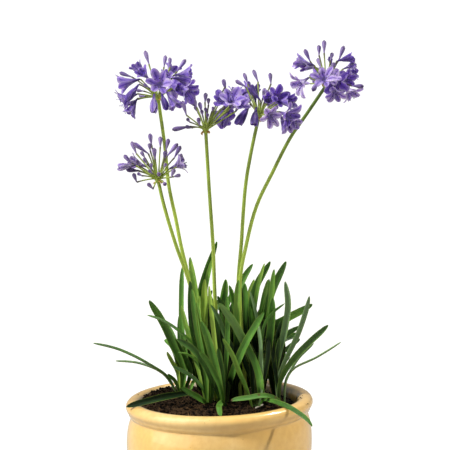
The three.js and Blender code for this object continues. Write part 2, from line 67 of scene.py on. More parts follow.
placeCamera()
print("camera placed")


# shapes that every piece is made with

def clamp(value):
    return max(0, min(1, value))


def readTable(table, share):
    # the value that a table of shares and values gives at a share
    for (low, first), (high, second) in zip(table, table[1:]):
        if share <= high:
            return first + (second - first) * (share - low) / (high - low)
    return table[-1][1]


def smoothPath(points, stretch=12):
    # a curve through the points, read as place and direction at a share of its length
    ends = [points[0] * 2 - points[1], *points, points[-1] * 2 - points[-2]]
    places = []
    for p0, p1, p2, p3 in zip(ends, ends[1:], ends[2:], ends[3:]):
        d0, d1, d2 = (max((b - a).length, 0.01) ** 0.5 for a, b in ((p0, p1), (p1, p2), (p2, p3)))
        leave = ((p1 - p0) / d0 - (p2 - p0) / (d0 + d1) + (p2 - p1) / d1) * d1
        arrive = ((p2 - p1) / d1 - (p3 - p1) / (d1 + d2) + (p3 - p2) / d2) * d1
        for i in range(stretch):
            t = i / stretch
            rise = 3 * t ** 2 - 2 * t ** 3
            bend = leave * (t ** 3 - 2 * t ** 2 + t) + arrive * (t ** 3 - t ** 2)
            places.append(p1 * (1 - rise) + p2 * rise + bend)
    places.append(points[-1])
    return followPlaces(places)


def followPlaces(places):
    runs = [0]
    for a, b in zip(places, places[1:]):
        runs.append(runs[-1] + (b - a).length)
    last = len(places) - 1
    ways = [(places[min(i + 1, last)] - places[max(i - 1, 0)]).normalized() for i in range(last + 1)]

    def at(share):
        run = clamp(share) * runs[-1]
        i = min(max(bisect.bisect(runs, run) - 1, 0), last - 1)
        part = (run - runs[i]) / max(runs[i + 1] - runs[i], 1e-6)
        return places[i].lerp(places[i + 1], part), ways[i].lerp(ways[i + 1], part).normalized()

    return at, runs[-1]


def straightPath(start, end, steps=4):
    return followPlaces([start.lerp(end, i / steps) for i in range(steps + 1)])[0]


def frameAlong(tangent, turn=0):
    # the side and face directions of something that runs along a tangent
    side = frontDirection.cross(tangent).normalized()
    side = Matrix.Rotation(math.radians(turn), 3, tangent) @ side
    return side, tangent.cross(side)


def outward(side, face, angle):
    return side * math.cos(angle) + face * math.sin(angle)


def atEnd(v):
    return v < 1e-4 or v > 1 - 1e-4


def acrossBlade(u):
    # a way round a blade's section read as a way across it, there and back
    return 1 - abs(2 * u - 1)


def onUnderside(u):
    return 1.0 if 0.5 < u < 1 else 0.0


def newShape():
    bm = bmesh.new()
    bm.loops.layers.uv.new("UVMap")
    bm.verts.layers.float_color.new("looks")
    return bm


def bendGrid(bm, across, along, place, looks, mapUv=None):
    # a flat grid whose corners are set anew by place(u, v), with what meets welded
    made = bmesh.ops.create_grid(bm, x_segments=across, y_segments=along, size=0.5)["verts"]
    uvLayer = bm.loops.layers.uv.active
    looksLayer = bm.verts.layers.float_color["looks"]
    for face in {face for vert in made for face in vert.link_faces}:
        for loop in face.loops:
            u, v = loop.vert.co.x + 0.5, loop.vert.co.y + 0.5
            loop[uvLayer].uv = mapUv(u, v) if mapUv else (u, v)
    for vert in made:
        u, v = vert.co.x + 0.5, vert.co.y + 0.5
        vert[looksLayer] = looks(u, v) if callable(looks) else looks
        vert.co = place(u, v)
    bmesh.ops.remove_doubles(bm, verts=made, dist=weld)


def addTube(bm, path, radius, around, along, looks):
    # a round stem along a path, its radius read at each share of the length, with flat ends
    rings = {}

    def place(u, v):
        ring = round(v * along)
        share = clamp((ring - 1) / (along - 2))
        if ring not in rings:
            centre, tangent = path(share)
            rings[ring] = (centre, *frameAlong(tangent))
        centre, side, face = rings[ring]
        if ring in (0, along):
            return centre
        return centre + outward(side, face, fullTurn * u) * radius(share)

    bendGrid(bm, around, along, place, looks)


def spinOutline(bm, outline, steps):
    # a round body from the radius and height of its outline's corners
    corners = [bm.verts.new((radius, 0, height)) for radius, height in outline]
    edges = [bm.edges.new(pair) for pair in zip(corners, corners[1:])]
    bmesh.ops.spin(
        bm, geom=corners + edges, cent=(0, 0, 0), axis=(0, 0, 1), angle=fullTurn,
        steps=steps, use_merge=True)
    bmesh.ops.remove_doubles(bm, verts=bm.verts, dist=weld)


def finishPiece(bm, name, material, nodes, sharpAngle=50):
    bmesh.ops.recalc_face_normals(bm, faces=bm.faces)
    bmesh.ops.scale(bm, vec=(mm, mm, mm), verts=bm.verts)
    for face in bm.faces:
        face.smooth = True
    for edge in bm.edges:
        if edge.calc_face_angle(0) > math.radians(sharpAngle):
            edge.smooth = False
    mesh = bpy.data.meshes.new(name)
    bm.to_mesh(mesh)
    bm.free()
    mesh.materials.append(material)
    piece = bpy.data.objects.new(name, mesh)
    scene.collection.objects.link(piece)
    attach(piece, "root")
    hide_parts(*nodes)
    return piece


# node helpers and the effects that several materials share

def paint(colour):
    # a screen colour of 0 to 255 as the shader's own
    shares = [channel / 255 for channel in colour]
    return (*[s / 12.92 if s <= 0.04 else ((s + 0.055) / 1.055) ** 2.4 for s in shares], 1)


def addNode(tree, kind, inputs, **settings):
    made = tree.nodes.new(kind)
    for key, value in settings.items():
        setattr(made, key, value)
    for key, value in inputs.items():
        if isinstance(value, bpy.types.NodeSocket):
            tree.links.new(value, made.inputs[key])
        else:
            made.inputs[key].default_value = value
    return made


def calculate(tree, operation, *values):
    return addNode(tree, "ShaderNodeMath", dict(enumerate(values)), operation=operation).outputs[0]


def times(tree, first, second):
    return calculate(tree, "MULTIPLY", first, second)


def timesPlus(tree, value, factor, added):
    return calculate(tree, "MULTIPLY_ADD", value, factor, added)


def splitVector(tree, vector):
    return addNode(tree, "ShaderNodeSeparateXYZ", {0: vector}).outputs


def spread(tree, value, low, high, start=0.0, end=1.0):
    # the value read from low to high, laid out smoothly from start to end
    inputs = {0: value, 1: low, 2: high, 3: start, 4: end}
    return addNode(tree, "ShaderNodeMapRange", inputs, interpolation_type="SMOOTHSTEP").outputs[0]


def blendColours(tree, share, first, second):
    inputs = {"Factor": share, 6: first, 7: second}
    return addNode(tree, "ShaderNodeMix", inputs, data_type="RGBA").outputs[2]


def layOver(tree, colour, over, mask, strength=1):
    # another colour laid over one, as far as a mask and a strength say
    share = mask if strength == 1 else times(tree, mask, strength)
    return blendColours(tree, share, colour, paint(over))


def newGroup(name, numbers):
    group = bpy.data.node_groups.new(name, "ShaderNodeTree")
    group.interface.new_socket("Vector", in_out="INPUT", socket_type="NodeSocketVector")
    for key, value in numbers.items():
        made = group.interface.new_socket(key, in_out="INPUT", socket_type="NodeSocketFloat")
        made.default_value = value
    group.interface.new_socket("Mask", in_out="OUTPUT", socket_type="NodeSocketFloat")
    return group, group.nodes.new("NodeGroupInput").outputs, group.nodes.new("NodeGroupOutput")


def makeMottle():
    # soft clouds of light and dark
    group, given, out = newGroup("mottle", {"Scale": 10, "Low": 0.35, "High": 0.65})
    inputs = {"Vector": given["Vector"], "Scale": given["Scale"], "Detail": 4, "Roughness": 0.55}
    clouds = addNode(group, "ShaderNodeTexNoise", inputs).outputs[0]
    group.links.new(spread(group, clouds, given["Low"], given["High"]), out.inputs[0])
    return group


def makeStreaks():
    # fine lines along a leaf, stem or petal, from its own across and along
    group, given, out = newGroup("streaks", {"Count": 12, "Stretch": 2, "Seed": 0})
    parts = splitVector(group, given["Vector"])
    across = times(group, parts[0], given["Count"])
    along = times(group, parts[1], given["Stretch"])
    place = addNode(group, "ShaderNodeCombineXYZ", {0: across, 1: along, 2: given["Seed"]}).outputs[0]
    inputs = {"Vector": place, "Scale": 1, "Detail": 2, "Roughness": 0.6}
    lines = addNode(group, "ShaderNodeTexNoise", inputs).outputs[0]
    group.links.new(spread(group, lines, 0.3, 0.7), out.inputs[0])
    return group


def makeSpeckle():
    # scattered specks; a larger size makes larger specks
    group, given, out = newGroup("speckle", {"Scale": 200, "Size": 0.2, "Share": 0.2})
    cells = addNode(group, "ShaderNodeTexVoronoi", {"Vector": given["Vector"], "Scale": given["Scale"]})
    near = spread(group, cells.outputs["Distance"], given["Size"], 0)
    pick = addNode(group, "ShaderNodeSeparateColor", {0: cells.outputs["Color"]}).outputs[0]
    chosen = calculate(group, "LESS_THAN", pick, given["Share"])
    group.links.new(times(group, near, chosen), out.inputs[0])
    return group


mottle = makeMottle()
streaks = makeStreaks()
speckle = makeSpeckle()


def maskFrom(tree, group, vector, **numbers):
    return addNode(tree, "ShaderNodeGroup", {"Vector": vector, **numbers}, node_tree=group).outputs[0]


def newMaterial(name, rough, specular, through=None, **more):
    # through is how much light enters, how deep it goes, and how far each colour of it goes
    shader = {"Roughness": rough, "Specular IOR Level": specular, **more}
    if through:
        for key, value in zip(("Weight", "Scale", "Radius"), through):
            shader[f"Subsurface {key}"] = value
    material = bpy.data.materials.new(name)
    material.use_nodes = True
    tree = material.node_tree
    for key, value in shader.items():
        tree.nodes["Principled BSDF"].inputs[key].default_value = value
    return material, tree


def ownWay(tree):
    # a piece's own across and along, as a vector and as two numbers
    uv = addNode(tree, "ShaderNodeUVMap", {}, uv_map="UVMap").outputs[0]
    parts = splitVector(tree, uv)
    return uv, parts[0], parts[1]


def ownLooks(tree):
    # the four looks kept at each corner: tone, blue, wear and under
    kept = addNode(tree, "ShaderNodeAttribute", {}, attribute_name="looks")
    parts = addNode(tree, "ShaderNodeSeparateColor", {0: kept.outputs["Color"]}).outputs
    return parts[0], parts[1], parts[2], kept.outputs["Alpha"]


def ownPlace(tree):
    return addNode(tree, "ShaderNodeTexCoord", {}).outputs["Object"]


def ownLines(tree, uv, tone, seeds, count, stretch):
    # streaks that differ from one piece of a tone to the next
    return maskFrom(tree, streaks, uv, Count=count, Stretch=stretch, Seed=times(tree, tone, seeds))


def fromMidrib(tree, across):
    # 0 along the middle of a leaf or petal, 1 at its edges
    return calculate(tree, "ABSOLUTE", timesPlus(tree, across, 2, -1))


def setLook(tree, key, value):
    tree.links.new(value, tree.nodes["Principled BSDF"].inputs[key])


def addBump(tree, height, strength, distance):
    inputs = {"Height": height, "Strength": strength, "Distance": distance}
    setLook(tree, "Normal", addNode(tree, "ShaderNodeBump", inputs).outputs[0])


print("helpers and shared effects ready")


# the pot

pot = {
    "outside": [
        (0, 0), (80, 0), (84.5, 0.8), (86.5, 4), (94, 21), (104, 44), (113, 66), (120.2, 88), (125.6, 108),
        (129.4, 127), (131.2, 142), (131.2, 154), (130.6, 164), (129.4, 173), (127.6, 180), (125.8, 185),
        (125.2, 187.2), (124.9, 188.8), (125.7, 190.4), (127.5, 192), (128.5, 193.8), (128.9, 195.6),
        (130.2, 197.8), (131.9, 200.9), (132.4, 204.4), (130.8, 208.2), (127.8, 210.8), (124, 212),
        (120, 212.2),
    ],
    "inside": [
        (116.2, 211.2), (112.8, 208.6), (110.6, 204.6), (110, 199), (111, 186), (117, 170), (121, 150),
        (116, 110), (106, 70), (92, 36), (78, 13), (0, 12),
    ],
    "lean": 0.031, "leanFrom": 110, "leanFull": 185,
    "around": 64, "smooth": 2,
    "glaze": (243, 197, 113), "glazePale": (246, 211, 142), "glazeDeep": (212, 156, 82),
    "dust": (182, 182, 168), "speck": (128, 92, 52),
    # in metres: the radius inside which dust lies, how much wider on the near left, and its lowest level
    "dustRadius": (0.1165, 0.1115), "dustWider": 0.006, "dustLevel": (0.16, 0.17),
    "rough": 0.3, "dustRough": 0.4,
}


def makeDust(tree, place):
    # dust where water has stood, on the wall just above the soil and up the lip on the left
    parts = splitVector(tree, place)
    flat = addNode(tree, "ShaderNodeCombineXYZ", {0: parts[0], 1: parts[1]}).outputs[0]
    radius = addNode(tree, "ShaderNodeVectorMath", {0: flat}, operation="LENGTH").outputs["Value"]
    nearLeft = times(tree, spread(tree, parts[0], -0.05, -0.08), spread(tree, parts[1], -0.01, -0.04))
    reach = calculate(tree, "SUBTRACT", radius, times(tree, nearLeft, pot["dustWider"]))
    inner = spread(tree, reach, *pot["dustRadius"])
    above = spread(tree, parts[2], *pot["dustLevel"])
    patches = maskFrom(tree, mottle, place, Scale=28, Low=0.38, High=0.56)
    return times(tree, times(tree, inner, above), patches)


def makeGlaze():
    material, tree = newMaterial(
        "glaze", pot["rough"], 0.4, **{"Coat Weight": 0.9, "Coat Roughness": 0.04})
    place = ownPlace(tree)
    pools = maskFrom(tree, mottle, place, Scale=9, Low=0.35, High=0.7)
    grain = maskFrom(tree, mottle, place, Scale=120, Low=0.3, High=0.75)
    specks = maskFrom(tree, speckle, place, Scale=160, Size=0.16, Share=0.12)
    dusty = makeDust(tree, place)
    colour = blendColours(tree, pools, paint(pot["glaze"]), paint(pot["glazePale"]))
    colour = layOver(tree, colour, pot["glazeDeep"], grain, 0.25)
    colour = layOver(tree, colour, pot["speck"], specks, 0.55)
    colour = layOver(tree, colour, pot["dust"], dusty, 0.8)
    setLook(tree, "Base Color", colour)
    setLook(tree, "Roughness", timesPlus(tree, dusty, pot["dustRough"], pot["rough"]))
    addBump(tree, maskFrom(tree, mottle, place, Scale=30, Low=0.2, High=0.8), 0.08, 0.001)
    return material


def makePot():
    bm = newShape()
    spinOutline(bm, pot["outside"] + pot["inside"], pot["around"])
    # thrown by hand: the lip stands a little higher on the right
    for vert in bm.verts:
        share = clamp((vert.co.z - pot["leanFrom"]) / (pot["leanFull"] - pot["leanFrom"]))
        vert.co.z += pot["lean"] * share * vert.co.x
    piece = finishPiece(bm, "pot_glazed", makeGlaze(), ["pot"], 180)
    finer = piece.modifiers.new("smooth", "SUBSURF")
    finer.levels = finer.render_levels = pot["smooth"]


makePot()
print("pot made")


# the soil and what lies on it

soil = {
    "level": 203, "fall": 0.03, "ripple": 0.8,
    "edge": 109.4, "rimFrom": 0.86, "sink": 2.2,
    "wall": [
        (110.4, 186), (116.4, 170), (120.3, 150), (115.4, 110), (105.4, 70), (91.4, 36), (77.6, 13), (0, 13),
    ],
    "rings": 44, "around": 120, "crowded": 0.85,
    # lumps of three sizes: how close they lie and how high they are, times the height
    "lumps": [(0.11, 1), (0.3, 0.6), (0.8, 0.35)], "lumpHeight": 3,
    # a low heap at the back left
    "heap": {"height": 4.5, "left": 25, "back": 10, "runs": 40, "rim": 2},
    "crumbs": 5200, "crumbSize": (0.5, 2.6), "crumbTone": 0.54, "crumbReach": 108.4,
    "fibres": 260, "fibreLength": (4, 15), "fibreReach": (104, 107), "fibreThick": (0.22, 0.4),
    "colour": (12, 10, 8), "colourDeep": (2, 2, 2), "colourLight": (60, 45, 31),
    "fibreColour": (122, 92, 58), "fibreDark": (46, 33, 22), "stickColour": (212, 204, 186),
    # ends, thickness and how pale
    "sticks": [((50.5, -34), (61, -10), 1.1, 1), ((51, 12), (54, -9), 0.5, 0.4)], "stickAbove": 2.2,
    # specks that lie on the pot's lip, with their sizes
    "strays": [
        (113, -22, 214.8, 1.1), (114.5, -28.5, 214.9, 1.4), (121.5, -51, 212.6, 1.2), (109, -34, 214.6, 0.8),
        (117, -12, 215, 0.8), (-112, -38, 208.6, 0.8), (-117, 24, 208.4, 0.9), (102, -62, 214, 0.7),
    ],
}


def soilTop(x, y):
    ripple = math.sin(x * 0.11 + 1) * math.cos(y * 0.13) + math.sin(x * 0.05 - y * 0.07)
    return soil["level"] - soil["fall"] * x + soil["ripple"] * ripple


def soilSurface(x, y):
    # the crumbly top, which sinks a little towards the pot's wall
    place, heap = Vector((x, y, 0)), soil["heap"]
    lumps = sum(noise.noise(place * closeness) * height for closeness, height in soil["lumps"])
    rim = max(0, math.hypot(x, y) / soil["edge"] - soil["rimFrom"]) / (1 - soil["rimFrom"])
    leftward, backward = clamp((-x - heap["left"]) / heap["runs"]), clamp((y + heap["back"]) / heap["runs"])
    heaped = heap["height"] * leftward * backward * min(1, rim * heap["rim"])
    return soilTop(x, y) + soil["lumpHeight"] * lumps - soil["sink"] * rim ** 2 + heaped


def makeSoilMaterial():
    material, tree = newMaterial("soil", 0.95, 0.15)
    place = ownPlace(tree)
    lumps = maskFrom(tree, mottle, place, Scale=160, Low=0.3, High=0.7)
    specks = maskFrom(tree, speckle, place, Scale=420, Size=0.5, Share=0.16)
    light = calculate(tree, "MAXIMUM", times(tree, specks, 0.35), ownLooks(tree)[0])
    colour = blendColours(tree, lumps, paint(soil["colourDeep"]), paint(soil["colour"]))
    setLook(tree, "Base Color", layOver(tree, colour, soil["colourLight"], light))
    addBump(tree, maskFrom(tree, mottle, place, Scale=420, Low=0.2, High=0.8), 0.9, 0.0012)
    return material


def makeFibreMaterial():
    material, tree = newMaterial("fibre", 0.85, 0.2)
    tone, pale, *_ = ownLooks(tree)
    lines = maskFrom(tree, streaks, ownWay(tree)[0], Count=6, Stretch=3)
    colour = blendColours(tree, tone, paint(soil["fibreDark"]), paint(soil["fibreColour"]))
    colour = layOver(tree, colour, soil["fibreDark"], lines, 0.4)
    setLook(tree, "Base Color", layOver(tree, colour, soil["stickColour"], pale))
    return material


def makeSoil(material):
    bm = newShape()
    rings = soil["rings"]
    top = [(soil["edge"] * (i / rings) ** soil["crowded"], soil["level"]) for i in range(rings + 1)]
    spinOutline(bm, top + soil["wall"], soil["around"])
    for vert in bm.verts:
        if vert.co.z > soil["level"] - 1:
            vert.co.z = soilSurface(vert.co.x, vert.co.y)
    finishPiece(bm, "soil_bed", material, ["soil"], 180)


def anywhere(rng, widest):
    # a place anywhere on a disc
    reach = widest * rng.random() ** 0.5
    angle = rng.random() * fullTurn
    return reach * math.cos(angle), reach * math.sin(angle)


def addCrumb(bm, place, size, rng):
    looksLayer = bm.verts.layers.float_color["looks"]
    made = bmesh.ops.create_icosphere(bm, subdivisions=1, radius=size)["verts"]
    turn = Matrix.Rotation(rng.random() * 6, 3, Vector((rng.random(), rng.random(), 1)).normalized())
    squash = Vector((1, 0.6 + 0.4 * rng.random(), 0.5 + 0.4 * rng.random()))
    tone = soil["crumbTone"] * rng.random() ** 2
    for vert in made:
        vert.co *= 0.75 + 0.5 * rng.random()
        vert.co = turn @ (vert.co * squash) + place
        vert[looksLayer] = (tone, 0, 0, 0)


def makeCrumbs(material):
    rng = random.Random(11)
    bm = newShape()
    low, high = soil["crumbSize"]
    for _ in range(soil["crumbs"]):
        x, y = anywhere(rng, soil["crumbReach"])
        size = low + (high - low) * rng.random() ** 3
        addCrumb(bm, Vector((x, y, soilSurface(x, y) + size * 0.25)), size, rng)
    for *place, size in soil["strays"]:
        addCrumb(bm, Vector(place), size, rng)
    finishPiece(bm, "soil_crumbs", material, ["soil"], 180)


def addFibre(bm, rng):
    middleReach, endReach = soil["fibreReach"]
    low, high = soil["fibreLength"]
    thin, thicker = soil["fibreThick"]
    middle = Vector((*anywhere(rng, middleReach), 0))
    length = low + (high - low) * rng.random() ** 1.5
    way = Matrix.Rotation(rng.random() * fullTurn, 3, "Z") @ Vector((length / 2, 0, 0))
    bend = Vector((-way.y, way.x, 0)) * (rng.random() - 0.5)
    points = []
    for place in (middle - way, middle + bend * 0.5, middle + way):
        if place.length > endReach:
            place = place * (endReach / place.length)
        place.z = soilSurface(place.x, place.y) + 0.7 + rng.random()
        points.append(place)
    thick = thin + thicker * rng.random() ** 2
    path = smoothPath(points, 4)[0]
    addTube(bm, path, lambda v: thick * (1 - 0.5 * abs(2 * v - 1)), 4, 5, (rng.random(), 0, 0, 0))


def makeFibres():
    rng = random.Random(12)
    bm = newShape()
    for _ in range(soil["fibres"]):
        addFibre(bm, rng)
    for start, end, thick, pale in soil["sticks"]:
        ends = [Vector((*spot, soilSurface(*spot) + soil["stickAbove"])) for spot in (start, end)]
        addTube(bm, straightPath(*ends), lambda v: thick, 6, 6, (0.9, pale, 0, 0))
    finishPiece(bm, "soil_fibres", makeFibreMaterial(), ["soil"], 180)


soilMaterial = makeSoilMaterial()
makeSoil(soilMaterial)
makeCrumbs(soilMaterial)
makeFibres()
print("soil made")


# leafy shoots

leaf = {
    "around": 12, "along": 26, "crowded": 1.6,
    "thick": 1.3, "channel": 0.27, "root": 5, "lean": 4.5,
    "twist": 7, "toneVaries": 0.1,
    # the share of its width that a leaf has at its foot, and where it is full, narrows and ends
    "footWidth": 0.38, "fullFrom": 0.55, "narrowsFrom": 0.5, "narrows": 0.15, "tipFrom": 0.84,
    # the shorter leaves that stand behind each one: how many, how short, how far aside and back
    "inner": {"count": 2, "size": (0.4, 0.3), "width": (0.65, 0.2), "aside": 9, "back": (8, 10),
              "lowest": 25, "turns": 50, "kinds": ["deep", "dark", "deep", "mid"]},
    # the crown's outline is a height above the soil and a share of its width
    "crown": {"long": 5.2, "short": 4.2, "above": 3,
              "outline": [(-24, 0.72), (-4, 1), (2, 0.98), (2, 0.84), (4.5, 0.5)]},
    # in metres: where the painted shade in the middle of the clump sits and how far it reaches, the levels
    # between which it fades and widens, and how strong it is
    "clump": {"middle": (0.036, 0.04), "reach": (0.064, 0.056), "foot": 0.25, "top": 0.36,
              "widens": 0.26, "soil": 0.21, "shade": 0.8},
    "kinds": {
        # tone from darkest to brightest, how blue, and how worn. The tone is partly each leaf's own colour
        # and partly painted shade and light: the darkest kinds paint the shade inside the clump and under
        # the plant, and the brightest paint where light falls on a leaf.
        "bright": (0.74, 0, 0), "fresh": (0.62, 0, 0), "mid": (0.46, 0, 0), "dark": (0.25, 0.05, 0),
        "deep": (0.1, 0.03, 0), "shade": (-0.1, 0, 0), "blue": (0.5, 0.7, 0), "mist": (0.8, 0.9, 0),
        "lit": (0.96, 0, 0), "spotted": (0.4, 0, 1), "soft": (0.35, 0, 0), "sage": (0.62, 0.35, 0),
        "dusk": (0.3, 0.35, 0),
    },
    "deepGreen": (12, 38, 14), "midGreen": (90, 142, 54), "brightGreen": (174, 202, 88),
    "blueGreen": (122, 154, 112), "edge": (146, 162, 70), "base": (150, 166, 90), "spot": (92, 56, 30),
}

